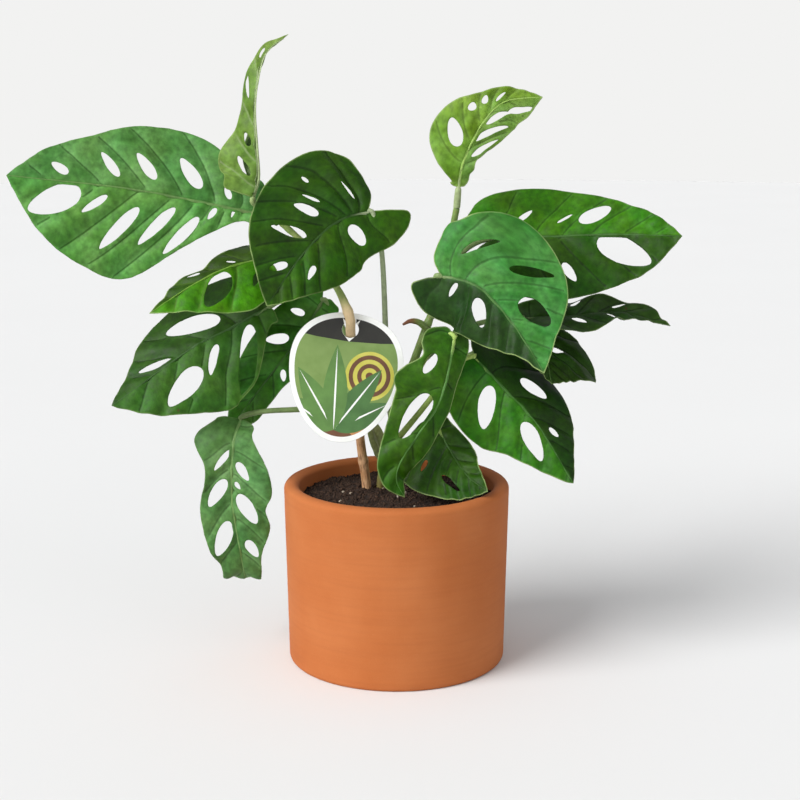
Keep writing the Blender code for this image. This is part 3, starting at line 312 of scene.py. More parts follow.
LEAVES = (
    Leaf(
        "leaf_left_large",
        midrib=((-89, 14, 281), (-127, 12, 289), (-168, 4, 297), (-234, -8, 305)),
        facing=((0.05, -0.9, 0.45), (-0.05, -0.9, 0.45)),
        left=Side(4, (8, 29, 54, 52, 34), fold=-8, curl=28, gaps=(
            (0.08, 3, 6, 2, 20), (0.15, 6, 9, 4, 10), (0.19, 23, 32, 7, 1), (0.28, 20, 33, 7, -4),
            (0.38, 25, 36, 8, -9), (0.56, 12, 19, 5, 3), (0.71, 12, 34, 16, 12),
        )),
        right=Side(6, (24, 42, 45, 34, 21), fold=4, curl=16, gaps=(
            (0.11, 9, 9, 4, 25), (0.21, 17, 23, 9, 5), (0.36, 16, 20, 7, -4), (0.5, 14, 19, 6, -10),
            (0.73, 8, 12, 6, 10),
        )),
        stalk=((-73, 8, 275), (-81, 12, 279)),
    ),
    Leaf(
        "leaf_left_new",
        midrib=(
            (-87, 2, 291), (-83.5, 0, 303), (-84, -2, 320), (-85, -2, 343), (-83, 0, 361), (-78, 4, 377),
            (-65, 14, 388),
        ),
        facing=((0.1, -1, 0.1), (-0.4, -0.9, 0), (-0.7, -0.7, 0), (-0.6, -0.8, 0)),
        left=Side(0, (21, 26, 12, 12, 7), curl=15, rake=1.2, gaps=(
            (0.13, 9, 15, 5, 25), (0.27, 6, 9, 5, 25), (0.51, 8, 17, 3, 9), (0.76, 3, 7, 3, 20),
        )),
        right=Side(0, (10, 18, 12, 9, 6), fold=-130, gaps=((0.2, 7, 9, 5), (0.4,), (0.6,))),
        stalk=((-80.6, 5.9, 283.5), (-86, 4, 287)),
        young=True,
    ),
    Leaf(
        "leaf_front_left",
        midrib=((-17, -2, 283), (-37, -14, 277), (-57, -30, 258), (-76, -44, 231)),
        facing=((0.12, -0.8, 0.6), (0.1, -0.9, 0.4)),
        left=Side(26, (27, 33, 32, 26, 13), fold=-5, curl=45, gaps=(
            (0.12, 13, 16, 11, -48), (0.35,), (0.52, 11, 10, 4, 32), (0.66,), (0.8,),
        )),
        right=Side(7, (43, 47, 43, 35, 18), fold=16, curl=16, gaps=(
            (0.09, 16, 14, 2, 13), (0.13, 32, 6, 2, -24), (0.18, 20, 11, 2, -8), (0.23, 17, 16, 6, -16),
            (0.38, 15, 22, 6, -19), (0.52,), (0.66, 7, 12, 5, 1),
        )),
        stalk=((-3, 11, 150), (-7, 9, 180), (-7, 6, 215), (-9, 2, 258), (-13, -1, 276)),
    ),
    Leaf(
        "leaf_left_low",
        midrib=((-83, 4, 254), (-104, -6, 249), (-125, -16, 239), (-148, -26, 224)),
        facing=((-0.1, -0.7, 0.7), (-0.15, -0.7, 0.7)),
        left=Side(6, (28, 32, 28, 20, 9), fold=-12, curl=10, gaps=(
            (0.1, 14, 10, 4, 23), (0.34, 11, 28, 14, 19), (0.6,),
        )),
        right=Side(6, (23, 18, 10, 12, 5), fold=-15, curl=10, gaps=(
            (0.21, 4, 6, 2, 24), (0.44, 8, 9, 3, 15), (0.65,),
        )),
        stalk=((-55, 2, 262), (-68, 6, 260)),
        young=True,
    ),
    Leaf(
        "leaf_left_dark",
        midrib=((-80, 14, 222), (-107, 9, 208), (-129, 3, 197), (-175, -14, 165)),
        facing=((-0.2, -0.85, 0.5), (-0.2, -0.85, 0.5)),
        left=Side(2, (13, 38, 46, 37, 22), fold=-6, curl=24, gaps=(
            (0.15, 24, 46, 11, 1), (0.31, 14, 22, 6, 4), (0.47, 18, 32, 14, 28), (0.66,),
        )),
        right=Side(8, (38, 44, 39, 30, 12), fold=-10, curl=18, gaps=(
            (0.1,), (0.29, 16, 34, 14, 28), (0.48,), (0.64, 5, 22, 5, 24),
        )),
        stalk=((-40, -5, 242), (-58, 8, 236)),
    ),
    Leaf(
        "leaf_behind_tag",
        midrib=((-47, 26, 224), (-61, 26, 202), (-82, 22, 175), (-107, 14, 143)),
        facing=((-0.1, -0.9, 0.4), (-0.1, -0.95, 0.3)),
        left=Side(4, (14, 20, 14, 11, 11), fold=4, curl=16, gaps=(
            (0.12,), (0.27, 8, 11, 5), (0.45, 7, 8, 4), (0.65,),
        )),
        right=Side(8, (18, 25, 26, 21, 11), fold=4, curl=16, gaps=(
            (0.12, 10, 10, 5), (0.28, 11, 16, 7), (0.46,), (0.65,),
        )),
        stalk=((-26, 4, 182), (-30, 14, 198), (-38, 24, 216)),
    ),
    Leaf(
        "leaf_hanging",
        midrib=((-98, 6, 152), (-102, -4, 138), (-103, -9, 104), (-99, -6, 70), (-97, 5, 48), (-98, 24, 50)),
        facing=((0, -0.85, 0.5), (0, -1, 0), (0, -1, -0.2), (0, -0.6, -0.8)),
        left=Side(
            -6, (11, 22, 25, 20, 21, 13, 10), fold=4, curl=14,
            stations=(0.09, 0.25, 0.38, 0.47, 0.57, 0.7, 0.85), gaps=(
                (0.1,), (0.23, 7, 14, 6, 23), (0.31, 4, 6, 3, 15), (0.39, 9, 23, 9, 20), (0.59, 8, 14, 7, 18),
                (0.75,),
            ),
        ),
        right=Side(
            -5, (16, 25, 17, 17, 21, 19, 14, 13), fold=4, curl=14,
            stations=(0.05, 0.13, 0.24, 0.33, 0.45, 0.64, 0.74, 0.88),
            gaps=((0.19, 6, 16, 4, 26), (0.31, 9, 20, 8, 12), (0.52, 9, 26, 10, 15), (0.7,)),
        ),
        stalk=((-24, 9, 150), (-45, 10, 158), (-64, 7, 158), (-84, 6, 157)),
        wave=2.0,
    ),
    Leaf(
        "leaf_right_new",
        midrib=((38, 7, 297), (40, 4, 310), (47, 2, 327), (56, 0, 341), (67, 2, 349), (88, 4, 351)),
        facing=((0, -1, 0.1), (0, -0.95, 0.4)),
        left=Side(-3, (6, 25, 25, 13, 6), curl=14, gaps=(
            (0.1,), (0.25, 12, 17, 9, 4), (0.42, 11, 5, 5, 10), (0.53, 8, 5, 4, 3), (0.66, 4, 7, 2, 20),
        )),
        right=Side(
            -7, (6, 7.5, 7, 9, 15, 17, 14), curl=14, rake=1.3,
            stations=(0.11, 0.16, 0.23, 0.28, 0.45, 0.65, 0.84),
            gaps=((0.23, 9, 22, 4, 5), (0.36, 7, 25, 4, 1), (0.52, 5, 20, 4, 12), (0.66, 7, 20, 4, 25)),
        ),
        stalk=((37, 9, 284.4),),
        young=True,
    ),
    Leaf(
        "leaf_right_large",
        midrib=((61, 18, 265), (92, 15, 266), (131, 9, 268), (174, -2, 268)),
        facing=((0, -0.85, 0.5), (0.1, -0.9, 0.4)),
        left=Side(18, (36, 37, 32, 24, 15), fold=-4, curl=18, gaps=(
            (0.13, 15, 12, 4, 27), (0.3, 12, 11, 2, 18), (0.42, 14, 21, 10, 16), (0.6,), (0.76,),
        )),
        right=Side(12, (34, 40, 38, 33, 22), fold=-4, curl=18, gaps=(
            (0.1,), (0.25, 23, 14, 6, -7), (0.42,), (0.6, 10.5, 37, 16, 19), (0.82,),
        )),
        stalk=((30, 12, 246), (46, 17, 260)),
    ),
    Leaf(
        "leaf_center_right",
        midrib=((27, -14, 245), (44, -22, 242), (56, -28, 234), (73, -38, 214), (87, -50, 192)),
        facing=((0.2, -0.97, 0.2), (0.2, -0.95, 0.3)),
        left=Side(7, (36, 48, 47, 38, 16), fold=10, curl=14, gaps=(
            (0.12, 23, 20, 4, 19), (0.22, 29, 25, 6, 3), (0.34,), (0.47, 15, 22, 13, 26), (0.66,), (0.8,),
        )),
        right=Side(18, (29, 33, 28, 20, 7), fold=-10, curl=35, gaps=(
            (0.1, 7, 10, 4, -29), (0.31, 11, 20, 9, 21), (0.5,), (0.66,),
        )),
        stalk=((22, 11, 216), (24, 4, 234), (24, -8, 243)),
    ),
    Leaf(
        "leaf_lower_right",
        midrib=((48, -8, 194), (67, -14, 175), (87, -24, 154), (107, -38, 122)),
        facing=((0.15, -0.85, 0.5), (0.15, -0.9, 0.4)),
        left=Side(10, (34, 40, 38, 27, 12), fold=-18, curl=26, gaps=(
            (0.05,), (0.25, 18, 19, 10, 33), (0.43,), (0.59, 7, 8, 4, 25), (0.76,),
        )),
        right=Side(12, (33, 37, 35, 25, 13), fold=-16, curl=24, gaps=(
            (0.05,), (0.19, 16, 27, 11, 4), (0.36,), (0.56, 8, 28, 10, 35), (0.8,),
        )),
        stalk=((-6.2, 12.5, 130), (2, 6, 141), (19, -2, 164), (33, -6, 184)),
    ),
    Leaf(
        "leaf_right_twisted",
        midrib=((81, 24, 214), (110, 26, 215), (142, 28, 217), (173, 22, 209)),
        facing=((0, -0.4, 0.9), (0, -0.3, 1)),
        left=Side(6, (15, 18, 17, 16, 12), fold=10, curl=10, gaps=(
            (0.12,), (0.27, 12, 10, 4, 8), (0.42,), (0.56, 8, 14, 4, -5), (0.75,),
        )),
        right=Side(6, (22, 25, 21, 13, 5), fold=10, curl=10, gaps=(
            (0.12,), (0.28, 9, 12, 4), (0.48, 9, 13, 3, -25), (0.65,), (0.8,),
        )),
        stalk=((9, 10, 182), (38, 20, 205), (64, 24, 213)),
        wave=3.0,
    ),
    Leaf(
        "leaf_right_back",
        midrib=((94, 30, 204), (94, 10, 194), (95, -16, 179)),
        facing=((0.2, -0.5, 0.85), (0.2, -0.6, 0.75)),
        left=Side(8, (26, 33, 36, 34, 17), fold=0, curl=30, gaps=(
            (0.1,), (0.25, 8, 10, 5, -45), (0.45,), (0.6,), (0.76,),
        )),
        right=Side(6, (14, 15, 12, 8, 5), fold=0, curl=20, gaps=((0.15,), (0.35,), (0.55,), (0.75,))),
        stalk=((6, 10, 172), (44, 16, 190), (76, 30, 203)),
    ),
    Leaf(
        "leaf_center_hanging",
        midrib=(
            (35, -20, 208), (31, -28, 187), (25, -33, 169), (14, -36, 153), (3, -38, 136), (0, -38, 124),
            (5, -37, 113),
        ),
        facing=((0, -1, 0.2), (-0.1, -1, 0.2)),
        left=Side(6, (12, 8, 10, 13, 8), fold=-30, curl=10, gaps=((0.15,), (0.35,), (0.55,), (0.75,))),
        right=Side(
            6, (19, 17, 25, 31, 26, 19, 12), fold=4, curl=10,
            stations=(0.05, 0.13, 0.21, 0.31, 0.47, 0.65, 0.84),
            gaps=((0.14, 12, 15, 7, 50), (0.44, 8, 34, 13, 45), (0.72,), (0.85,)),
        ),
        stalk=((-3.8, 11.7, 142), (5, 2, 163), (16, -6, 190), (28, -14, 208)),
        wave=1.6,
    ),
    Leaf(
        "leaf_sheath",
        midrib=((-9, 5, 127), (-12, 0, 138), (-15, -3, 148), (-18, -4, 158)),
        facing=((0.3, -0.9, 0.2), (0.3, -0.9, 0.2)),
        left=Side(0, (4, 5.5, 5.8, 5, 3), fold=30, curl=10, gaps=((0.3,), (0.6,))),
        right=Side(0, (4, 5.5, 5.8, 5, 3), fold=30, curl=10, gaps=((0.3,), (0.6,))),
        stalk=((-8, 13, 116), (-8, 9, 122)),
        wave=0.5,
        pleat=0.1,
        young=True,
    ),
    Leaf(
        "leaf_over_rim",
        midrib=((25, -1, 150), (33, -12, 137), (43, -30, 125), (55, -42, 118)),
        facing=((-0.2, -0.8, 0.55), (-0.2, -0.8, 0.55)),
        left=Side(4, (9, 12, 13, 10, 6), curl=16, gaps=((0.15,), (0.35,), (0.55,))),
        right=Side(6, (22, 34, 33, 24, 13), curl=16, gaps=(
            (0.17, 19, 8, 3, -2), (0.32,), (0.47, 11, 15, 4, 52), (0.64,), (0.8,),
        )),
        stalk=((-7.2, 13, 121), (4, 8, 132), (16, 2, 145)),
    ),
)


class Look(NamedTuple):
    """A leaf's colours: the green of its left and its right half, each with painted shade or painted light in
    it where that half lies in shade or faces the light, its midrib and its stalk. Pale is how far its side
    veins show lighter than the green, from 0, where they are thin grooves drawn with a painted dark line of
    shade, to 1, and edge is how strongly its thin pale margin shows.
    """

    left: str
    right: str
    rib: str
    stalk: str = "#6E8450"
    pale: float = 0.0
    edge: float = 0.3


# Each half's green is the leaf's own green with painted shade and light in it: a half that lies in another
# leaf's shadow or faces away from the light is painted a deeper green, and one that faces the light a
# brighter one. The right halves of leaf_center_right, leaf_right_large and leaf_left_low are painted in
# shade, and leaf_behind_tag is painted brighter to make up for the shade that it stands in.
LOOKS = {
    "leaf_left_large": Look("#5C8A4A", "#568048", "#64864A", edge=0.1),
    "leaf_left_new": Look("#647E40", "#5E7640", "#A6B884", "#8FA268", 0.4, 0.6),
    "leaf_front_left": Look("#2E5212", "#274612", "#2C4A1C", "#8F9C78", edge=0.7),
    "leaf_left_low": Look("#3E7408", "#28400E", "#6A9034", "#7F9550", 0.3, 0.7),
    "leaf_left_dark": Look("#385C26", "#2A4618", "#38582A"),
    "leaf_behind_tag": Look("#3E6A2C", "#3E6A2C", "#3A5E28"),
    "leaf_hanging": Look("#587E4C", "#4E7040", "#6A8C50", "#6E8450", 0.1, 0.2),
    "leaf_right_new": Look("#66843A", "#5F7C3C", "#90B058", "#9BAA7A", 0.1, 0.6),
    "leaf_right_large": Look("#3A6820", "#244410", "#3C602A", edge=0.2),
    "leaf_center_right": Look("#42753C", "#1E3814", "#4A7038", "#7F9560", 0.1, 0.9),
    "leaf_lower_right": Look("#183406", "#32601E", "#3A6228", "#9AB45E", edge=0.6),
    "leaf_right_twisted": Look("#2C481A", "#2C481A", "#355422", edge=0.5),
    "leaf_right_back": Look("#284214", "#284214", "#4A6A30", edge=0.6),
    "leaf_center_hanging": Look("#30541A", "#30541A", "#4A7434", "#9AB45E", edge=0.8),
    "leaf_sheath": Look("#9AA070", "#9AA070", "#B0B48A", "#8FA268", 0.5),
    "leaf_over_rim": Look("#24420F", "#24420F", "#2E5018", "#9AB45E", edge=0.8),
}


def spline_point(a, b, c, d, t):
    """The point at share t from b to c on a Catmull-Rom curve."""
    return 0.5 * (2 * b + (c - a) * t + (2 * a - 5 * b + 4 * c - d) * t**2 + (3 * b - a - 3 * c + d) * t**3)


def spline(points, steps):
    """The curve through all the given points but the first and the last, which it leans towards."""
    shares = np.linspace(0, 1, steps, endpoint=False)[:, None]
    spans = [spline_point(*span, shares) for span in zip(points, points[1:], points[2:], points[3:])]
    return np.vstack([*spans, points[-2]])


def run_along(path):
    """How far along a line each of its points is."""
    return np.concatenate([[0.0], np.cumsum(np.linalg.norm(np.diff(path, axis=0), axis=1))])


def smooth_path(points, step):
    """Points about a step apart along a smooth curve through the given ones, as rows."""
    known = np.array(points, float)
    fine = spline(np.vstack([2 * known[0] - known[1], known, 2 * known[-1] - known[-2]]), CURVE_STEPS)
    lengths = run_along(fine)
    count = max(2, round(lengths[-1] / step))
    wanted = np.linspace(0, lengths[-1], count + 1)
    return np.stack([np.interp(wanted, lengths, fine[:, i]) for i in range(3)], axis=1)


def rows_at(rows, share):
    """The rows at shares of an evenly spaced list."""
    place = clipped(share) * (len(rows) - 1)
    index = np.minimum(place.astype(int), len(rows) - 2)
    part = (place - index)[:, None]
    return rows[index] * (1 - part) + rows[index + 1] * part


def unit(rows):
    """Rows of vectors made one long."""
    return rows / np.maximum(np.linalg.norm(rows, axis=1), TINY)[:, None]


def clipped(values):
    """Shares kept from 0 to 1."""
    return np.clip(values, 0.0, 1.0)


def dip(distance, width):
    """Whole at no distance, and gone a few widths away."""
    return np.exp(-((distance / width) ** 2))


def noise_at(points, size, seed=0.0):
    """Smooth noise from -1 to 1 at rows of points in millimetres, with lumps of about the given size."""
    shift = Vector([seed * part for part in NOISE_SHIFT])
    return np.array([noise.noise(Vector(p) / size + shift) for p in points])


class Blade:
    """A leaf's blade as a flat plan, across and along the midrib, bent over the midrib's curve."""

    def __init__(self, leaf):
        self.leaf = leaf
        self.rib = smooth_path(leaf.midrib, RIB_STEP)
        self.length = float(np.linalg.norm(np.diff(self.rib, axis=0), axis=1).sum())
        self.facing = unit(np.array(leaf.facing, float))
        last = len(self.rib) - 1
        index = np.arange(last + 1)
        self.ahead = unit(self.rib[np.minimum(index + 2, last)] - self.rib[np.maximum(index - 2, 0)])

    def side(self, across):
        return self.leaf.left if across < 0 else self.leaf.right

    def half_width(self, across):
        return max(self.side(across).widths)

    def each_side(self, across, value):
        """A value of the side that each plan point is on."""
        return np.where(across < 0, value(self.leaf.left), value(self.leaf.right))

    def frame(self, along):
        """The midrib's points, their directions, the upper face's normals and the directions to the right."""
        share = along / self.length
        ahead = unit(rows_at(self.ahead, share))
        point = rows_at(self.rib, share) + ahead * np.minimum(along, 0.0)[:, None]
        look = rows_at(self.facing, share)
        normal = unit(look - ahead * (look * ahead).sum(axis=1)[:, None])
        return point, ahead, normal, np.cross(ahead, normal)

    def vein_along(self, start, out, side):
        """Where the vein line that leaves the midrib at a share of its length is, at a distance out."""
        fan = VEIN_FAN * math.exp(-start / FAN_SHARE)
        rake = self.side(side).rake * (RAKE_AT_BASE + VEIN_GROWTH * start) - fan
        return self.length * start + rake * out + VEIN_BEND * out * out / self.half_width(side)

    def vein_angle(self, start, out, side):
        """The angle in the plan between that line and straight outwards."""
        return math.atan(self.vein_along(start, out + 0.5, side) - self.vein_along(start, out - 0.5, side))

    def gaps(self, side):
        return [Gap(*values) for values in self.side(side).gaps]

    def gap_line(self, gap, out, side):
        """Where a gap's middle is at distances out: away from the midrib it turns with the gap's hole."""
        lean = VEIN_FOLLOW * math.tan(math.radians(min(max(gap.turn, -MOST_TURN), MOST_TURN)))
        reach = np.minimum(out, gap.centre + gap.length / 2) - gap.centre
        shift = lean * reach * np.minimum(out / max(gap.centre, 1.0), 1.0)
        return self.vein_along(gap.start, out, side) + shift

    def veins_at(self, out, side):
        """Where each side vein is at distances out: midway between the gaps, and one beyond each end."""
        gaps = [self.gap_line(gap, out, side) for gap in self.gaps(side)]
        if len(gaps) == 1:
            step = GAP_STEP * self.length
            gaps = [gaps[0] - step, gaps[0], gaps[0] + step]
        between = [(a + b) / 2 for a, b in zip(gaps, gaps[1:])]
        return np.stack([gaps[0] - (gaps[1] - gaps[0]) / 2, *between, gaps[-1] + (gaps[-1] - gaps[-2]) / 2])

    def vein_slopes(self, out, side):
        """How far the side veins run along the midrib for each unit outwards, at distances out."""
        return self.veins_at(out + 0.5, side) - self.veins_at(out - 0.5, side)

    def vein_phase(self, across, along):
        """Whole on a side vein, and a half in the middle of a gap between two."""
        phase = np.zeros(len(across))
        for side in (-1, 1):
            veins = self.veins_at(np.abs(across), side)
            index = np.clip((veins < along).sum(axis=0) - 1, 0, len(veins) - 2)[None]
            low = np.take_along_axis(veins, index, 0)[0]
            high = np.take_along_axis(veins, index + 1, 0)[0]
            here = (across < 0) == (side < 0)
            phase = np.where(here, index[0] + (along - low) / np.maximum(high - low, 1.0), phase)
        return phase

    def vein_distance(self, across, along):
        """How far plan points are from the nearest side vein."""
        best = np.full(len(across), NEAR)
        out = np.abs(across)
        for side in (-1, 1):
            here = (across < 0) == (side < 0)
            for line, slope in zip(self.veins_at(out, side), self.vein_slopes(out, side)):
                away = np.abs(along - line) / np.hypot(1.0, slope)
                best = np.where(here, np.minimum(best, away), best)
        return best

    def place(self, across, along):
        """The points in space, in millimetres, of points of the plan."""
        point, _, normal, right = self.frame(along)
        right = right * np.where(across < 0, -1.0, 1.0)[:, None]
        out = np.abs(across)
        half = self.each_side(across, lambda s: max(s.widths))
        fold = np.radians(self.each_side(across, lambda s: s.fold))
        curl = np.radians(self.each_side(across, lambda s: s.curl or 0.1)) / half
        reach = np.minimum(out / half, 1.0)
        angle = fold - curl * out
        outward = (np.sin(fold) - np.sin(angle)) / curl
        upward = (np.cos(angle) - np.cos(fold)) / curl
        phase = self.vein_phase(across, along)
        edge = reach * reach * np.sin(np.pi * phase + np.where(across < 0, *WAVE_STARTS))
        pleat = np.cos(math.tau * phase) * np.sin(np.pi * np.minimum(reach * PLEAT_REACH, 1.0))
        lift = upward + self.leaf.wave * edge - self.leaf.pleat * pleat
        return point + right * outward[:, None] + normal * lift[:, None]


def half_outline(blade, side):
    """One side of the plan from the notch at the base round to the tip, as rows of (across, along)."""
    shape = blade.side(side)
    length = blade.length
    first, last = shape.widths[0], shape.widths[-1]
    knots = [(0.0, 0.0)]
    knots += [(out * first, -(back if shape.lobe > 0 else 1 - back) * shape.lobe) for out, back in LOBE_KNOTS]
    knots += [(width, share * length) for width, share in zip(shape.widths, shape.stations)]
    knots += [(TIP_KNOT[0] * last, TIP_KNOT[1] * length), (0.0, length)]
    rim = np.array(knots)
    ends = [(1 + END_LEAN) * rim[end] - END_LEAN * rim[beside] for end, beside in ((0, 1), (-1, -2))]
    line = spline(np.vstack([ends[0], rim, ends[1]]), EDGE_POINTS)
    line[:, 0] = side * np.maximum(line[:, 0], 0.0)
    return line


def outline(blade):
    """The whole plan's edge: up the right side and back down the left."""
    right = half_outline(blade, 1)
    left = half_outline(blade, -1)
    return np.vstack([right, left[-2:0:-1]])


def rim_reach(rim, along):
    """How far out a half's edge is beside places along the midrib."""
    reach = np.zeros(len(along))
    for (x0, y0), (x1, y1) in zip(rim, rim[1:]):
        if y0 != y1:
            share = (along - y0) / (y1 - y0)
            beside = np.where((share >= 0) & (share <= 1), abs(x0) + (abs(x1) - abs(x0)) * share, 0.0)
            reach = np.maximum(reach, beside)
    return reach


def hole_outlines(blade):
    """The holes in the gaps between the side veins: ovals that lie along the vein lines, widest near the
    midrib, and end at a thin bridge where the blade does.
    """
    loops = []
    turn = math.tau * np.arange(HOLE_POINTS) / HOLE_POINTS
    for side in (-1, 1):
        rim = half_outline(blade, side)
        for gap in blade.gaps(side):
            if gap.length:
                lean = blade.vein_angle(gap.start, gap.centre, side) + math.radians(gap.turn)
                ahead = gap.length / 2 * np.cos(turn)
                aside = gap.width / 2 * np.sin(turn) * (1 - HOLE_EGG * np.cos(turn))
                along = blade.vein_along(gap.start, gap.centre, side)
                along = along + ahead * math.sin(lean) + aside * math.cos(lean)
                out = gap.centre + ahead * math.cos(lean) - aside * math.sin(lean)
                out = np.maximum(np.minimum(out, rim_reach(rim, along) - BRIDGE), RIB_BRIDGE)
                loops.append(np.stack([side * out, along], axis=1))
    return loops


def inside(points, loop):
    """Which plan points lie inside a closed loop, by counting crossings."""
    a, b = loop, np.roll(loop, -1, axis=0)
    rise = np.where(b[:, 1] == a[:, 1], TINY, b[:, 1] - a[:, 1])
    x, y = points[:, 0:1], points[:, 1:2]
    spans = (a[None, :, 1] > y) != (b[None, :, 1] > y)
    crossing = (b[None, :, 0] - a[None, :, 0]) * (y - a[None, :, 1]) / rise[None] + a[None, :, 0]
    return (spans & (x < crossing)).sum(axis=1) % 2 == 1


def line_distance(points, line, closed=True):
    """The distance from each plan point to the nearest stretch of a line."""
    a = line if closed else line[:-1]
    b = np.roll(line, -1, axis=0) if closed else line[1:]
    edge = b - a
    size = np.maximum((edge**2).sum(axis=1), TINY)
    away = points[:, None, :] - a[None]
    share = np.clip((away * edge[None]).sum(axis=2) / size[None], 0.0, 1.0)
    return np.sqrt(((away - edge[None] * share[..., None]) ** 2).sum(axis=2)).min(axis=1)


def capped_distance(points, line, cap, closed=True):
    """The same up to a cap, which spares the points that are farther off."""
    near = (points > line.min(axis=0) - cap).all(axis=1) & (points < line.max(axis=0) + cap).all(axis=1)
    distance = np.full(len(points), cap)
    if near.any():
        distance[near] = np.minimum(cap, line_distance(points[near], line, closed))
    return distance


def vein_lines(blade, edge, holes):
    """The stretches of the side veins, and of the two feet of each one's groove, that lie on the blade."""
    lines = []
    for side in (-1, 1):
        start, end = (share * blade.half_width(side) for share in VEIN_SPAN)
        out = np.arange(start, end, VEIN_STEP)
        for along, slope in zip(blade.veins_at(out, side), blade.vein_slopes(out, side)):
            across_line = np.stack([-slope, np.ones(len(out))], axis=1) / np.hypot(1.0, slope)[:, None]
            middle = np.stack([out, along], axis=1)
            for offset in (-VEIN_SIDE, 0.0, VEIN_SIDE):
                line = (middle + across_line * offset) * (side, 1.0)
                clear = inside(line, edge) & (line_distance(line, edge) > LINE_CLEARANCE)
                clear &= np.abs(line[:, 0]) > RIB_CLEARANCE
                for hole in holes:
                    clear &= ~inside(line, hole) & (line_distance(line, hole) > LINE_CLEARANCE)
                cuts = np.flatnonzero(np.diff(clear.astype(int))) + 1
                for part, on in zip(np.split(line, cuts), np.split(clear, cuts)):
                    if on[0] and len(part) > 1:
                        lines.append(part)
    return lines


def rib_lines(blade):
    """The midrib's line, and lines along both sides and both feet of its groove."""
    along = np.linspace(0.0, blade.length, max(8, round(blade.length / VEIN_STEP)) + 1)
    lines = [np.stack([np.zeros(len(along)), along], axis=1)]
    inner = along[1:-2]
    for offset in RIB_SIDES:
        lines.append(np.stack([np.full(len(inner), offset), inner + VEIN_STEP / 2], axis=1))
    return lines


def filling(edge, lines):
    """Points in rows, a step apart, that fill a plan and keep clear of its lines, each with whether it is
    closed.
    """
    low, high = edge.min(axis=0), edge.max(axis=0)
    rise = MESH_STEP * math.sqrt(3) / 2
    rows = []
    for number, y in enumerate(np.arange(low[1], high[1], rise)):
        x = np.arange(low[0] + (number % 2) * MESH_STEP / 2, high[0], MESH_STEP)
        rows.append(np.stack([x, np.full(len(x), y)], axis=1))
    points = np.vstack(rows)
    points = points[inside(points, edge)]
    for line, closed in lines:
        points = points[capped_distance(points, line, 2 * LINE_CLEARANCE, closed) >= LINE_CLEARANCE]
    return points


def triangulate(lines, points):
    """A plan's points and triangles, with every line, closed or not, as edges of them."""
    places, edges = [], []
    for line, closed in lines:
        first = len(places)
        places += [Vector(p) for p in line]
        edges += [(first + i, first + i + 1) for i in range(len(line) - 1)]
        if closed:
            edges.append((first + len(line) - 1, first))
    places += [Vector(p) for p in points]
    plan, _, faces, *_ = delaunay_2d_cdt(places, edges, [], 0, MERGE_DISTANCE)
    plan = np.array([tuple(p) for p in plan])
    faces = np.array(faces)
    a, b, c = plan[faces[:, 0]], plan[faces[:, 1]], plan[faces[:, 2]]
    area = (b[:, 0] - a[:, 0]) * (c[:, 1] - a[:, 1]) - (b[:, 1] - a[:, 1]) * (c[:, 0] - a[:, 0])
    faces[area < 0] = faces[area < 0][:, ::-1]
    return plan, faces


def only_used(plan, faces):
    """The plan without the points that no triangle uses."""
    used, faces = np.unique(faces, return_inverse=True)
    return plan[used], faces.reshape(-1, 3)


def largest_body(plan, faces):
    """The largest connected body of a plan's triangles: a hole that meets the edge can cut off a scrap."""
    body = np.arange(len(plan))
    while True:
        lowest = body[faces].min(axis=1)
        after = body.copy()
        for corner in range(3):
            np.minimum.at(after, faces[:, corner], lowest)
        after = after[after]
        if (after == body).all():
            break
        body = after
    names, sizes = np.unique(body[faces[:, 0]], return_counts=True)
    return only_used(plan, faces[body[faces[:, 0]] == names[sizes.argmax()]])


def blade_plan(blade):
    """The blade's plan as fine triangles, and each point's distance to the nearest margin or hole, and to its
    outer edge.
    """
    seed = RIPPLE_SEED + LEAVES.index(blade.leaf)
    edge = rippled(outline(blade), RIPPLE, seed)
    holes = [rippled(hole, HOLE_RIPPLE, seed) for hole in hole_outlines(blade)]
    loops = [edge, *holes]
    lines = [(loop, True) for loop in loops]
    lines += [(line, False) for line in rib_lines(blade) + vein_lines(blade, edge, holes)]
    plan, faces = triangulate(lines, filling(edge, lines))
    centres = plan[faces].mean(axis=1)
    kept = inside(centres, edge)
    for hole in holes:
        kept &= ~inside(centres, hole)
    plan, faces = largest_body(plan, faces[kept])
    margin = np.full(len(plan), NEAR)
    for loop in loops:
        margin = np.minimum(margin, capped_distance(plan, loop, NEAR))
    return plan, faces, margin, line_distance(plan, edge)


def point_normals(points, faces):
    """The direction out of a surface at each of its points."""
    a, b, c = points[faces[:, 0]], points[faces[:, 1]], points[faces[:, 2]]
    across = np.cross(b - a, c - a)
    total = np.zeros(points.shape)
    for corner in range(3):
        np.add.at(total, faces[:, corner], across)
    return unit(total)


def open_edges(faces):
    """The directed edges that belong to one triangle only."""
    edges = np.vstack([faces[:, [0, 1]], faces[:, [1, 2]], faces[:, [2, 0]]])
    keys = np.sort(edges, axis=1)
    _, first, counts = np.unique(keys, axis=0, return_index=True, return_counts=True)
    return edges[first[counts == 1]]


def rippled(loop, depth, seed):
    """A closed line of the plan moved a little in and out, as no grown edge is a smooth curve."""
    ahead = unit(np.roll(loop, -1, axis=0) - np.roll(loop, 1, axis=0))
    sideways = np.stack([ahead[:, 1], -ahead[:, 0]], axis=1)
    drift = depth * noise_at(np.column_stack([loop, np.zeros(len(loop))]), RIPPLE_SIZE, seed)
    return loop + sideways * (drift * clipped(np.abs(loop[:, 0]) / RIPPLE_FADE))[:, None]


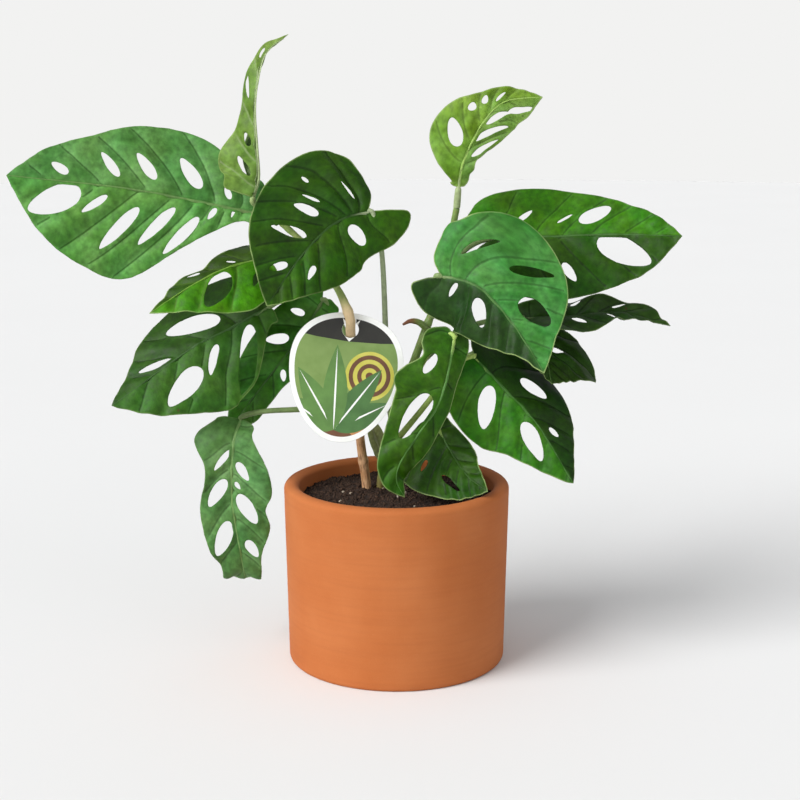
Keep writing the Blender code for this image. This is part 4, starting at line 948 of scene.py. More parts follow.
def sheet_solid(name, points, faces, over, under, bulge):
    """A closed sheet, whose upper face lies over the given points, its lower face under them, and whose rim
    is round, and the numbers of the points on that rim.
    """
    normals = point_normals(points, faces)
    rim = open_edges(faces)
    outward = np.zeros(points.shape)
    turn = np.cross(points[rim[:, 1]] - points[rim[:, 0]], normals[rim[:, 0]])
    for corner in range(2):
        np.add.at(outward, rim[:, corner], turn)
    rim_points = np.unique(rim)
    number = np.full(len(points), -1)
    number[rim_points] = np.arange(len(rim_points)) + 2 * len(points)
    count = len(points)
    top = points + normals * over[:, None]
    bottom = points - normals * under[:, None]
    middle = points[rim_points] + unit(outward[rim_points]) * bulge
    i, j = rim[:, 0], rim[:, 1]
    upper = np.stack([j, i, number[i], number[j]], axis=1)
    lower = np.stack([number[j], number[i], i + count, j + count], axis=1)
    mesh = bpy.data.meshes.new(name)
    all_faces = [*faces.tolist(), *(faces[:, ::-1] + count).tolist(), *upper.tolist(), *lower.tolist()]
    mesh.from_pydata((np.vstack([top, bottom, middle]) * MM).tolist(), [], all_faces)
    mesh.shade_smooth()
    return mesh, rim_points


def give(mesh, name, values):
    """Stores a value, or where the values are rows a vector, on each point of a mesh."""
    values = np.asarray(values, np.float32)
    kind, holder = ("FLOAT_VECTOR", "vector") if values.ndim == 2 else ("FLOAT", "value")
    mesh.attributes.new(name, kind, "POINT").data.foreach_set(holder, values.ravel())


def show(name, mesh, finish):
    """A new piece in the scene."""
    if finish:
        mesh.materials.clear()
        mesh.materials.append(finish)
    piece = bpy.data.objects.new(name, mesh)
    bpy.context.scene.collection.objects.link(piece)
    return piece


def hand_over(piece, slot, *nodes):
    """The finished piece rides with the plant and stands for its nodes, whose parts are hidden. The slot is
    not used.
    """
    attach(piece, "root")
    if nodes:
        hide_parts(*nodes)


def blended(first, second, share):
    """Rows of colours on the way from one to another."""
    share = clipped(share)[:, None]
    return np.array(paint(first)[:3]) * (1 - share) + np.array(paint(second)[:3]) * share


def blade_piece(blade, finish):
    """A blade with its holes, its sunken veins and the puckers between them."""
    leaf = blade.leaf
    plan, faces, margin, outer = blade_plan(blade)
    across, along = plan[:, 0], plan[:, 1]
    points = blade.place(across, along)
    vein = blade.vein_distance(across, along)
    rib = np.abs(across)
    taper = 1 - RIB_TAPER * clipped(along / blade.length)
    flat = np.column_stack([plan, np.zeros(len(plan))])
    seed = LEAVES.index(leaf) + 1.0
    pucker = PUCKER * noise_at(flat, PUCKER_SIZE, seed) * clipped(margin / RELIEF_FADE)
    pucker = pucker - VALLEY * dip(vein, VALLEY_WIDTH) * clipped(margin / VALLEY_FADE)
    half = HALF_THICKNESS * (1 - EDGE_THINNING * dip(margin, THIN_EDGE))
    vein_groove = VEIN_GROOVE * dip(vein, VEIN_GROOVE_WIDTH) * clipped(margin / RELIEF_FADE)
    groove = np.maximum(vein_groove, RIB_GROOVE * dip(rib, RIB_GROOVE_WIDTH) * taper)
    over = half + pucker - groove
    under = half - pucker + RIDGE_SHARE * groove
    mesh, rim = sheet_solid(leaf.name, points, faces, over, under, RIM_BULGE)
    look = LOOKS[leaf.name]
    lower = np.concatenate([np.zeros(len(plan)), np.ones(len(plan)), np.zeros(len(rim))])
    give(mesh, "plan", np.column_stack([np.vstack([plan, plan, plan[rim]]) * MM, lower * FACES_APART + seed]))
    # The halves' greens, with the painted shade and light that they carry, blended across the midrib
    tint = blended(look.left, look.right, 0.5 + across / (2 * HALF_BLEND))
    for name, values in (("tint", tint), ("vein", vein), ("rib", rib / taper), ("outer", outer)):
        give(mesh, name, np.concatenate([values, values, values[rim]]))
    give(mesh, "rib_tint", np.tile(paint(look.rib)[:3], (len(lower), 1)))
    give(mesh, "pale", np.full(len(lower), look.pale))
    give(mesh, "edge", np.full(len(lower), look.edge))
    give(mesh, "lower", lower)
    return show(leaf.name + "_blade", mesh, finish)


def line_mesh(name, path, girth):
    """A line of points as edges, with its thickness at each."""
    mesh = bpy.data.meshes.new(name)
    mesh.from_pydata((path * MM).tolist(), [(i, i + 1) for i in range(len(path) - 1)], [])
    give(mesh, "girth", girth * MM)
    return mesh


def swept(piece, tree, sides, relief, finish):
    """Turns a line into a round tube with a relief of the given depth and size."""
    depth, size = relief
    values = {"Sides": sides, "Bump Depth": depth * MM, "Bump Size": size * MM, "Finish": finish}
    run_tree(piece, tree, values)


def stalk_piece(blade, tree, finish):
    """A leaf's stalk, with its swollen knee under the blade, and the midrib that it runs on into."""
    leaf = blade.leaf
    base, ahead, _, _ = blade.frame(np.array([0.0]))
    into, *_ = blade.frame(np.array([STALK_INTO_BLADE]))
    path = smooth_path([*leaf.stalk, base[0] - ahead[0] * STALK_RUN_IN, into[0]], TUBE_STEP)
    steps = run_along(path)
    neck = steps[-1] - STALK_INTO_BLADE
    before = steps < neck
    girth = STALK_FOOT_RADIUS + (STALK_NECK_RADIUS - STALK_FOOT_RADIUS) * (steps / steps[-1])
    girth = girth * (1 + KNEE_SWELL * dip(steps - (neck - KNEE_LENGTH / 2), KNEE_LENGTH / 2))
    along = np.arange(0.0, RIB_REACH * blade.length, TUBE_STEP)
    thick = STALK_NECK_RADIUS + (RIB_TIP_RADIUS - STALK_NECK_RADIUS) * (along / blade.length) ** RIB_THINS
    thick = thick * min(1.0, blade.length / FULL_RIB_LENGTH) * (YOUNG_RIB if leaf.young else 1.0)
    point, _, normal, _ = blade.frame(along)
    rib = point - normal * (thick + HALF_THICKNESS * RIB_SUNK)[:, None]
    line = np.vstack([path[before], rib])
    mesh = line_mesh(leaf.name + "_stalk", line, np.concatenate([girth[before], thick]))
    look = LOOKS[leaf.name]
    share = np.concatenate([np.zeros(before.sum()), along / STALK_TINT_LENGTH])
    give(mesh, "tint", blended(look.stalk, look.rib, share))
    piece = show(leaf.name + "_stalk", mesh, None)
    swept(piece, tree, TUBE_SIDES, STALK_RELIEF, finish)
    return piece


def path_and_girth(stem):
    """A stem's or a spur's line, and how thick it is along it."""
    path = smooth_path(stem["path"], TUBE_STEP)
    radii = stem["radii"]
    return path, np.interp(np.linspace(0, 1, len(path)), np.linspace(0, 1, len(radii)), radii)


def stem_pieces(stem, tree, finish):
    """A vine stem with a ring at each leaf scar, and its spurs."""
    path, girth = path_and_girth(stem)
    share = np.linspace(0, 1, len(path))
    length = TUBE_STEP * len(path)
    for node in STEM_NODES:
        girth = girth + NODE_SWELL * dip((share - node) * length, NODE_LENGTH) * girth / STEM_RADIUS
    parts = [line_mesh(stem["name"], path, girth)]
    parts += [line_mesh(stem["name"] + "_spur", *path_and_girth(spur)) for spur in stem["spurs"]]
    pieces = [show(part.name, part, None) for part in parts]
    for piece in pieces:
        swept(piece, tree, STEM_SIDES, STEM_RELIEF, finish)
    pieces[0].name = stem["name"] + "_bark"
    return pieces


def add(tree, kind, inputs=None, output=None, **settings):
    """Adds a node with its settings, gives each named input a value or a link, and returns one output."""
    made = tree.nodes.new(kind)
    for name, value in settings.items():
        setattr(made, name, value)
    for name, value in (inputs or {}).items():
        named = name.rstrip("123")
        open_sockets = [s for s in made.inputs if s.enabled and s.name == named]
        socket = open_sockets[int(name[len(named):] or 1) - 1]
        if isinstance(value, bpy.types.NodeSocket):
            tree.links.new(value, socket)
        else:
            socket.default_value = value
    shown = [s for s in made.outputs if s.enabled and output in (None, s.name)]
    return shown[0] if shown else made


def new_tree(name, *inputs):
    """An empty Geometry Nodes tree with its named inputs, and the node that carries them."""
    tree = bpy.data.node_groups.new(name, "GeometryNodeTree")
    tree.interface.new_socket("Geometry", in_out="OUTPUT", socket_type="NodeSocketGeometry")
    for label, kind in (("Geometry", "Geometry"), *inputs):
        tree.interface.new_socket(label, in_out="INPUT", socket_type="NodeSocket" + kind)
    entry = tree.nodes.new("NodeGroupInput")
    return tree, {socket.name: socket for socket in entry.outputs}


def close_tree(tree, geometry, finish):
    """Ends a tree in real, smooth faces with their finish."""
    real = add(tree, "GeometryNodeRealizeInstances", {"Geometry": geometry})
    smooth = add(tree, "GeometryNodeSetShadeSmooth", {"Geometry": real})
    done = add(tree, "GeometryNodeSetMaterial", {"Geometry": smooth, "Material": finish})
    end = tree.nodes.new("NodeGroupOutput")
    tree.links.new(done, end.inputs[0])


def keep_result(piece):
    """Makes what a piece's modifiers give its plain mesh, and removes them."""
    graph = bpy.context.evaluated_depsgraph_get()
    piece.data = bpy.data.meshes.new_from_object(piece.evaluated_get(graph))
    piece.modifiers.clear()


def run_tree(piece, tree, values):
    """Runs a tree on a piece with the named values, and keeps its result as a plain mesh."""
    modifier = piece.modifiers.new(tree.name, "NODES")
    modifier.node_group = tree
    for item in tree.interface.items_tree:
        if item.in_out == "INPUT" and item.name in values:
            modifier[item.identifier] = values[item.name]
    keep_result(piece)


def bumped(tree, geometry, depth, size):
    """Moves a surface along its normals by noise of the given depth and size."""
    scale = add(tree, "ShaderNodeMath", {"Value1": 1.0, "Value2": size}, operation="DIVIDE")
    rough = add(tree, "ShaderNodeTexNoise", {"Scale": scale, "Detail": 2.0}, "Fac")
    swing = add(tree, "ShaderNodeMath", {"Value1": rough, "Value2": 0.5}, operation="SUBTRACT")
    height = add(tree, "ShaderNodeMath", {"Value1": swing, "Value2": depth}, operation="MULTIPLY")
    normal = add(tree, "GeometryNodeInputNormal", output="Normal")
    offset = add(tree, "ShaderNodeVectorMath", {"Vector": normal, "Scale": height}, operation="SCALE")
    return add(tree, "GeometryNodeSetPosition", {"Geometry": geometry, "Offset": offset})


def tube_tree():
    """Sweeps a round section along a line, as thick as the line's girth, with bumps like bark or skin."""
    tree, given = new_tree("tube_along_line", ("Sides", "Int"), ("Bump Depth", "Float"),
                           ("Bump Size", "Float"), ("Finish", "Material"))
    line = add(tree, "GeometryNodeMeshToCurve", {"Mesh": given["Geometry"]})
    ring = add(tree, "GeometryNodeCurvePrimitiveCircle", {"Resolution": given["Sides"], "Radius": 1.0})
    girth = add(tree, "GeometryNodeInputNamedAttribute", {"Name": "girth"}, "Attribute", data_type="FLOAT")
    tube = add(tree, "GeometryNodeCurveToMesh",
               {"Curve": line, "Profile Curve": ring, "Scale": girth, "Fill Caps": True})
    close_tree(tree, bumped(tree, tube, given["Bump Depth"], given["Bump Size"]), given["Finish"])
    return tree


def crumb_tree():
    """Scatters rough crumbs over the surfaces that face up, turned and sized at random."""
    tree, given = new_tree("crumbs_on_soil", ("Density", "Float"), ("Smallest", "Float"),
                           ("Largest", "Float"), ("Faces", "Int"), ("Seed", "Int"), ("Finish", "Material"))
    normal = add(tree, "GeometryNodeInputNormal", output="Normal")
    upness = add(tree, "ShaderNodeVectorMath", {"Vector1": normal, "Vector2": (0, 0, 1)}, "Value",
                 operation="DOT_PRODUCT")
    faces_up = add(tree, "ShaderNodeMath", {"Value1": upness, "Value2": 0.5}, operation="GREATER_THAN")
    spread = tree.nodes.new("GeometryNodeDistributePointsOnFaces")
    for name, value in (("Mesh", given["Geometry"]), ("Selection", faces_up), ("Density", given["Density"]),
                        ("Seed", given["Seed"])):
        tree.links.new(value, next(s for s in spread.inputs if s.enabled and s.name == name))
    ball = add(tree, "GeometryNodeMeshIcoSphere", {"Radius": 1.0, "Subdivisions": given["Faces"]}, "Mesh")
    size = add(tree, "FunctionNodeRandomValue",
               {"Min": given["Smallest"], "Max": given["Largest"], "Seed": given["Seed"]}, data_type="FLOAT")
    turn = add(tree, "FunctionNodeRandomValue", {"Max": (math.tau,) * 3, "Seed": given["Seed"]},
               data_type="FLOAT_VECTOR")
    squash = add(tree, "FunctionNodeRandomValue",
                 {"Min": LEAST_SQUASH, "Max": MOST_SQUASH, "Seed": given["Seed"]}, data_type="FLOAT_VECTOR")
    scale = add(tree, "ShaderNodeVectorMath", {"Vector": squash, "Scale": size}, operation="SCALE")
    placed = add(tree, "GeometryNodeInstanceOnPoints",
                 {"Points": spread.outputs["Points"], "Instance": ball, "Rotation": turn, "Scale": scale})
    real = add(tree, "GeometryNodeRealizeInstances", {"Geometry": placed})
    depth, size = CRUMB_RELIEF
    close_tree(tree, bumped(tree, real, depth * MM, size * MM), given["Finish"])
    return tree


def turned(name, profile, sides, finish):
    """A solid of revolution about Z, from (radius, height) points that start and end on the axis."""
    rows = np.array(profile[1:-1], float)
    ring = round_loop((0.0, 0.0), 1.0, 1.0, sides)
    points = [(0.0, 0.0, profile[0][1])]
    for radius, height in rows:
        points += [(radius * x, radius * y, height) for x, y in ring]
    points.append((0.0, 0.0, profile[-1][1]))
    faces = []
    for j in range(sides):
        k = (j + 1) % sides
        faces.append((0, 1 + j, 1 + k))
        last = 1 + (len(rows) - 1) * sides
        faces.append((last + j, len(points) - 1, last + k))
        for i in range(len(rows) - 1):
            row = 1 + i * sides
            faces.append((row + j, row + sides + j, row + sides + k, row + k))
    mesh = bpy.data.meshes.new(name)
    mesh.from_pydata((np.array(points) * MM).tolist(), [], faces)
    mesh.shade_smooth()
    return show(name, mesh, finish)


def wall_points(low, high):
    """Points up a straight stretch of a profile, each end left out."""
    count = round(math.dist(low, high) / POT_WALL_STEP)
    return [tuple(np.array(low) + (np.array(high) - low) * i / count) for i in range(1, count)]


def pot_profile():
    """The pot's section: inside from its floor up, over the round rim, and down the outside to the foot."""
    inner_rim = POT_RIM_RADIUS - POT_WALL
    inner_floor = POT_FOOT_RADIUS - POT_WALL
    shoulder = POT_HEIGHT - POT_RIM_ROUND
    corner = (inner_floor - POT_CORNER, POT_FLOOR + POT_CORNER)
    profile = [(0.0, POT_FLOOR), *wall_points((0, POT_FLOOR), (corner[0], POT_FLOOR))]
    for turn in np.linspace(0, math.pi / 2, CORNER_POINTS):
        profile.append((corner[0] + POT_CORNER * math.sin(turn), corner[1] - POT_CORNER * math.cos(turn)))
    profile += [*wall_points((inner_floor, corner[1]), (inner_rim, shoulder)), (inner_rim, shoulder)]
    half_wall = POT_WALL / 2
    for i in range(1, RIM_POINTS + 1):
        turn = math.pi * (1 - i / (RIM_POINTS + 1))
        radius = POT_RIM_RADIUS - half_wall + half_wall * math.cos(turn)
        profile.append((radius, shoulder + POT_RIM_ROUND * math.sin(turn)))
    foot = (POT_FOOT_RADIUS, POT_FOOT_BEVEL)
    profile += [(POT_RIM_RADIUS, shoulder), *wall_points((POT_RIM_RADIUS, shoulder), foot), foot]
    bevel = BEVEL_SHARE * POT_FOOT_BEVEL
    for turn in np.linspace(0, math.pi / 2, BEVEL_POINTS)[1:]:
        radius = POT_FOOT_RADIUS - bevel * (1 - math.cos(turn))
        profile.append((radius, POT_FOOT_BEVEL * (1 - math.sin(turn))))
    return [*profile, *wall_points((POT_FOOT_RADIUS - bevel, 0.0), (0.0, 0.0)), (0.0, 0.0)]


def make_uneven(pot):
    """Draws the pot's wall in a little here and there, as a hand at the wheel does."""
    round_it, up_it = WAVE_LENGTHS
    for vertex in pot.data.vertices:
        x, y, z = vertex.co / MM
        reach = math.hypot(x, y)
        if reach > POT_FOOT_RADIUS - POT_WALL - 1 and WAVE_FROM < z < POT_HEIGHT - 1:
            inward = POT_WAVE * abs(noise.noise(Vector((x / round_it, y / round_it, z / up_it))))
            vertex.co.x *= 1 - inward / reach
            vertex.co.y *= 1 - inward / reach


def drill_drain(pot, turn):
    """Cuts a drain hole through the pot's floor."""
    high, low = 2 * POT_FLOOR, -POT_FLOOR
    section = [(0, high), (DRAIN_RADIUS, high), (DRAIN_RADIUS, low), (0, low)]
    drill = turned("drill", section, DRAIN_SIDES, None)
    drill.location = (DRAIN_CIRCLE * math.cos(turn) * MM, DRAIN_CIRCLE * math.sin(turn) * MM, 0)
    cut = pot.modifiers.new("drain", "BOOLEAN")
    cut.object = drill
    cut.operation = "DIFFERENCE"
    keep_result(pot)
    bpy.data.objects.remove(drill)


def pot_piece(finish):
    """The pot, with its drain holes."""
    pot = turned("terracotta_pot", pot_profile(), POT_SIDES, finish)
    make_uneven(pot)
    for i in range(DRAIN_HOLES):
        drill_drain(pot, math.tau * i / DRAIN_HOLES)
    pot.data.shade_smooth()
    pot.data.set_sharp_from_angle(angle=math.radians(POT_SHARP_ANGLE))
    return pot


def soil_height(x, y):
    """The soil's top: a low mound with lumps, and with finer lumps from another level of the noise."""
    mound = SOIL_MOUND * (1 - (math.hypot(x, y) / (POT_RIM_RADIUS - POT_WALL)) ** 2)
    lump = SOIL_LUMP * noise.noise(Vector((x, y, 0.0)) / SOIL_LUMP_SIZE)
    fine = sum(height * noise.noise(Vector((x, y, GRAIN_LEVEL)) / size) for size, height in SOIL_GRAINS)
    return SOIL_TOP + mound + lump + fine


def soil_piece(finish):
    """The compost that fills the pot, with lumps of every size on its top."""
    radius = POT_RIM_RADIUS - POT_WALL - SOIL_CLEARANCE
    foot = POT_FOOT_RADIUS - POT_WALL
    floor = POT_FLOOR + SOIL_CLEARANCE
    profile = [(radius * i / SOIL_RINGS, SOIL_TOP) for i in range(SOIL_RINGS + 1)]
    profile += [(foot - SOIL_CLEARANCE, POT_FLOOR + POT_CORNER), (foot - POT_CORNER, floor), (0.0, floor)]
    soil = turned("potting_soil", profile, SOIL_SIDES, finish)
    for vertex in soil.data.vertices:
        x, y, z = vertex.co / MM
        if z > SOIL_TOP - 1:
            vertex.co.z = soil_height(x, y) * MM
    soil.data.set_sharp_from_angle(angle=math.radians(SOIL_SHARP_ANGLE))
    return soil


def scattered(name, soil, tree, density, sizes, faces, seed, finish):
    """A copy of the soil's surface turned into loose crumbs that lie on it."""
    piece = show(name, soil.data.copy(), None)
    run_tree(piece, tree, {
        "Density": density / MM**2, "Smallest": sizes[0] * MM, "Largest": sizes[1] * MM, "Faces": faces,
        "Seed": seed, "Finish": finish,
    })
    return piece


def tag_outline(points, inset=0.0):
    """A rounded egg, a little wider above than below, as rows of (right, up) from the hole."""
    half_height = (TAG_ABOVE + TAG_BELOW) / 2
    turn = math.tau * np.arange(points) / points
    across, up = (np.copysign(np.abs(part) ** TAG_ROUNDNESS, part) for part in (np.cos(turn), np.sin(turn)))
    wide = (TAG_HALF_WIDTH - inset) * across * (1 + TAG_TAPER * np.sin(turn))
    high = (half_height - inset) * up
    return np.stack([wide, high + TAG_ABOVE - half_height], axis=1)


def tag_place():
    """The matrix that hangs the card: X to its right, Y up it and Z out of its printed face."""
    up = -Vector(TAG_DOWN).normalized()
    right = up.cross(Vector((0, 1, 0))).normalized() * -1
    turned_axes = Matrix((right, up, right.cross(up))).transposed().to_4x4()
    return Matrix.Translation(Vector(TAG_HOLE) * MM) @ turned_axes


def round_loop(centre, wide, high, points=40):
    """An oval of the given half sizes, as rows."""
    turn = math.tau * np.arange(points) / points
    return np.stack([centre[0] + wide * np.cos(turn), centre[1] + high * np.sin(turn)], axis=1)


def leaf_loop(foot, degrees, length, half):
    """A printed leaf: a pointed oval that leans by so many degrees from upright."""
    share = np.linspace(0, 1, FAN_LEAF_POINTS)
    wide = half * np.sin(np.pi * share**0.8) ** 0.9
    edge = np.stack([wide, share * length], axis=1)
    line = np.vstack([edge, (edge * (-1, 1))[-2:0:-1]])
    lean = math.radians(degrees)
    right = np.array([math.cos(lean), -math.sin(lean)])
    up = np.array([math.sin(lean), math.cos(lean)])
    return np.array(foot) + line[:, :1] * right + line[:, 1:] * up


def tag_print():
    """The generic print on the card, from the back forward: each loop and the number of its ink."""
    printed = tag_outline(TAG_POINTS, TAG_BORDER)
    motifs = [(printed, 1), (round_loop(RINGS_PLACE, RINGS_RADIUS, RINGS_RADIUS), 4)]
    for i in reversed(range(RINGS)):
        radius = FIRST_RING + RING_STEP * i
        motifs.append((round_loop(RINGS_PLACE, radius, radius, RING_POINTS), 4 if i % 2 else 5))
    motifs += [(round_loop(place, wide, high), ink) for place, wide, high, ink in HILLS]
    for degrees, length in FAN:
        motifs.append((leaf_loop(FAN_FOOT, degrees, length, FAN_LEAF_HALF), 2 if degrees < 0 else 3))
        motifs.append((leaf_loop(FAN_FOOT, degrees, length - 2, FAN_RIB_HALF), 0))
    motifs.append((np.array(BAND, float), 7))
    return printed, motifs


def tag_piece(finishes):
    """The card, with its printed front cut along the print's own outlines."""
    edge = tag_outline(TAG_POINTS)
    hole = round_loop((0.0, 0.0), TAG_HOLE_RADIUS, TAG_HOLE_RADIUS, TAG_HOLE_POINTS)
    printed, motifs = tag_print()
    plan, faces = triangulate([(loop, True) for loop in (edge, hole, *(loop for loop, _ in motifs))], ())
    centres = plan[faces].mean(axis=1)
    kept = inside(centres, edge) & ~inside(centres, hole)
    ink = np.zeros(len(faces), int)
    for loop, number in motifs:
        ink[inside(centres, loop)] = number
    ink[~inside(centres, printed)] = 0
    ink[np.hypot(centres[:, 0], centres[:, 1]) < TAG_HOLE_RADIUS + TAG_EYELET] = 0
    ink = ink[kept]
    plan, faces = only_used(plan, faces[kept])
    points = np.column_stack([plan, np.zeros(len(plan))])
    half = np.full(len(plan), TAG_THICKNESS / 2)
    mesh, _ = sheet_solid("name_tag_card", points, faces, half, half, TAG_BULGE)
    mesh.transform(tag_place())
    piece = show("name_tag_card", mesh, None)
    for finish in finishes:
        mesh.materials.append(finish)
    numbers = np.zeros(len(mesh.polygons), np.int32)
    numbers[:len(faces)] = ink
    mesh.polygons.foreach_set("material_index", numbers)
    mesh.set_sharp_from_angle(angle=math.radians(TAG_SHARP_ANGLE))
    return piece


def paint(code):
    """A colour given as sRGB hex, as linear values."""
    parts = [int(code[i:i + 2], 16) / 255 for i in (1, 3, 5)]
    return (*(p / 12.92 if p <= 0.04045 else ((p + 0.055) / 1.055) ** 2.4 for p in parts), 1.0)


def new_finish(name, **constants):
    """A material with its constants set on its shader, and the tree and shader to add to."""
    made = bpy.data.materials.new(name)
    made.use_nodes = True
    tree = made.node_tree
    shader = tree.nodes["Principled BSDF"]
    for label, value in constants.items():
        shader.inputs[label.replace("_", " ")].default_value = value
    return made, tree, shader


def lumps(where, size, detail=2.0):
    """What a noise texture is given for lumps of a size in millimetres."""
    return {"Vector": where, "Scale": 1 / (size * MM), "Detail": detail}


def limits(low, high, start=0.0, end=1.0):
    """What a range is given to be mapped onto start to end."""
    return {"From Min": low, "From Max": high, "To Min": start, "To Max": end}


def metres(reach):
    """A reach in millimetres, in metres."""
    return [part * MM for part in reach]


def set_looks(tree, shader, colour, relief=None, strength=0.0, depth=0.0):
    """Links the colour and, where there is one, a relief with its strength and its depth in millimetres."""
    tree.links.new(colour, shader.inputs["Base Color"])
    if relief:
        bump = add(tree, "ShaderNodeBump", {"Strength": strength, "Distance": depth * MM, "Height": relief})
        tree.links.new(bump, shader.inputs["Normal"])


def overlaid(tree, colour, other, value, reach, shares=(0.0, 1.0), weights=(), **settings):
    """Lays another colour over one. Its share goes from the first to the last of the shares as a value goes
    through a reach, and is multiplied by each of the weights.
    """
    share = add(tree, "ShaderNodeMapRange", {"Value": value, **limits(*reach, *shares)}, **settings)
    for weight in weights:
        share = add(tree, "ShaderNodeMath", {"Value1": share, "Value2": weight}, **PRODUCT)
    return add(tree, "ShaderNodeMix", {"Factor": share, "A": colour, "B": other}, "Result", **COLOURS)


def drawn(tree, colour, ink, distance, line, *weights):
    """Draws a line over a colour, from where it starts to fade to where it is gone, with its strength."""
    start, end, strength = line
    return overlaid(tree, colour, ink, distance, (start, end), (strength, 0.0), weights, **SMOOTH)


def leaf_green(tree, plan, mottle):
    """The mottled green of a leaf's halves, which holds painted shade and light, with its veins, its midrib
    and its pale margin drawn in, and with painted highlights beside the side veins and painted shade in their
    grooves and along the midrib.
    """
    vein, pale, rib, outer, edge = (
        add(tree, "ShaderNodeAttribute", output="Fac", attribute_name=name)
        for name in ("vein", "pale", "rib", "outer", "edge"))
    # The halves' greens, painted shade and light included
    tint = add(tree, "ShaderNodeAttribute", output="Color", attribute_name="tint")
    rib_tint = add(tree, "ShaderNodeAttribute", output="Color", attribute_name="rib_tint")
    patches = add(tree, "ShaderNodeTexNoise", lumps(plan, PATCH_SIZE, 3.0), "Fac")
    turns = add(tree, "ShaderNodeTexNoise", lumps(plan, TURN_SIZE), "Fac")
    broad = add(tree, "ShaderNodeMapRange", {"Value": patches, **limits(*USUAL_NOISE, 0.72, 1.3)})
    fine = add(tree, "ShaderNodeMapRange", {"Value": mottle, **limits(*USUAL_NOISE, 0.74, 1.28)})
    value = add(tree, "ShaderNodeMath", {"Value1": broad, "Value2": fine}, operation="MULTIPLY")
    strength = add(tree, "ShaderNodeMapRange", {"Value": patches, **limits(*USUAL_NOISE, 1.2, 1.06)})
    hue = add(tree, "ShaderNodeMapRange", {"Value": turns, **limits(*USUAL_NOISE, 0.512, 0.488)})
    colour = add(tree, "ShaderNodeHueSaturation",
                 {"Color": tint, "Value": value, "Saturation": strength, "Hue": hue})
    # Painted highlight on the sides of each side vein
    lighter = add(tree, "ShaderNodeHueSaturation", {"Color": colour, "Value": 1.3, "Saturation": 0.94})
    colour = drawn(tree, colour, lighter, vein, VEIN_SIDE_HIGHLIGHT)
    # Painted shade in the side veins' grooves, left out where the veins are pale
    darkest = add(tree, "ShaderNodeHueSaturation", {"Color": colour, "Value": 0.35, "Saturation": 1.1})
    not_pale = add(tree, "ShaderNodeMath", {"Value1": 1.0, "Value2": pale}, operation="SUBTRACT")
    colour = drawn(tree, colour, darkest, vein, VEIN_GROOVE_SHADE, not_pale)
    colour = drawn(tree, colour, rib_tint, vein, VEIN_PALE_LINE, pale)
    # Painted shade along the sunken midrib
    darker = add(tree, "ShaderNodeHueSaturation", {"Color": colour, "Value": 0.6, "Saturation": 1.05})
    colour = drawn(tree, colour, darker, rib, RIB_SHADE)
    colour = drawn(tree, colour, rib_tint, rib, RIB_LINE)
    broken = add(tree, "ShaderNodeMapRange", {"Value": patches, **limits(0.35, 0.55, 0.35, 1.0)})
    return drawn(tree, colour, paint("#93A968"), outer, MARGIN_LINE, edge, broken)


def specked(tree, colour, plan):
    """Adds a few specks of dead tissue, where the nearest point of a scatter is close and is a chosen one."""
    cells = {"Vector": plan, "Scale": 1 / (SPECK_SPACING * MM)}
    near = add(tree, "ShaderNodeTexVoronoi", cells, "Distance")
    lots = add(tree, "ShaderNodeTexVoronoi", cells, "Color")
    lot = add(tree, "ShaderNodeSeparateColor", {"Color": lots}, "Red")
    chosen = add(tree, "ShaderNodeMath", {"Value1": lot, "Value2": SPECKS_SKIPPED}, operation="GREATER_THAN")
    return drawn(tree, colour, paint("#4A3A1E"), near, SPECK_SPOT, chosen)


def leaf_finish():
    """Living leaf skin: waxy and satin, with a soft gloss that breaks up over its fine net of veinlets, and
    duller and paler below. The green is mottled, and a few specks of dead brown tissue show.
    """
    made, tree, shader = new_finish("waxy_leaf_skin", IOR=1.45, Specular_IOR_Level=0.2)
    plan = add(tree, "ShaderNodeAttribute", output="Vector", attribute_name="plan")
    below = add(tree, "ShaderNodeAttribute", output="Fac", attribute_name="lower")
    mottle = add(tree, "ShaderNodeTexNoise", lumps(plan, MOTTLE_SIZE, 3.0), "Fac")
    colour = specked(tree, leaf_green(tree, plan, mottle), plan)
    chalky = add(tree, "ShaderNodeHueSaturation", {"Color": colour, "Value": 1.35, "Saturation": 0.78})
    colour = overlaid(tree, colour, chalky, below, (0.0, 1.0), (0.0, 0.6))
    gloss = add(tree, "ShaderNodeMapRange", {"Value": mottle, **limits(*USUAL_NOISE, 0.44, 0.6)})
    rough = add(tree, "ShaderNodeMath", {"Value1": below, "Value2": 0.25, "Value3": gloss}, **SUM)
    tree.links.new(rough, shader.inputs["Roughness"])
    cells = {"Vector": plan, "Scale": 1 / (NET_SIZE * MM)}
    net = add(tree, "ShaderNodeTexVoronoi", cells, "Distance", feature="DISTANCE_TO_EDGE")
    furrows = add(tree, "ShaderNodeMapRange", {"Value": net, **limits(0.0, 0.3, 0.0, 0.25)})
    relief = add(tree, "ShaderNodeMath", {"Value1": furrows, "Value2": mottle}, operation="ADD")
    set_looks(tree, shader, colour, relief, 0.5, 0.3)
    return made


def stalk_finish():
    """Fleshy leaf stalk: smooth and slightly waxy, faintly mottled."""
    made, tree, shader = new_finish("fleshy_leaf_stalk", Roughness=0.45, IOR=1.45, Specular_IOR_Level=0.25)
    where = add(tree, "ShaderNodeTexCoord", output="Object")
    patches = add(tree, "ShaderNodeTexNoise", lumps(where, 14.0, 3.0), "Fac")
    pores = add(tree, "ShaderNodeTexNoise", lumps(where, 2.2), "Fac")
    broad = add(tree, "ShaderNodeMapRange", {"Value": patches, **limits(*USUAL_NOISE, 0.8, 1.2)})
    fine = add(tree, "ShaderNodeMapRange", {"Value": pores, **limits(0.45, 0.75, 1.05, 0.75)})
    value = add(tree, "ShaderNodeMath", {"Value1": broad, "Value2": fine}, operation="MULTIPLY")
    tint = add(tree, "ShaderNodeAttribute", output="Color", attribute_name="tint")
    colour = add(tree, "ShaderNodeHueSaturation", {"Color": tint, "Value": value})
    set_looks(tree, shader, colour, pores, 0.4, 0.1)
    return made


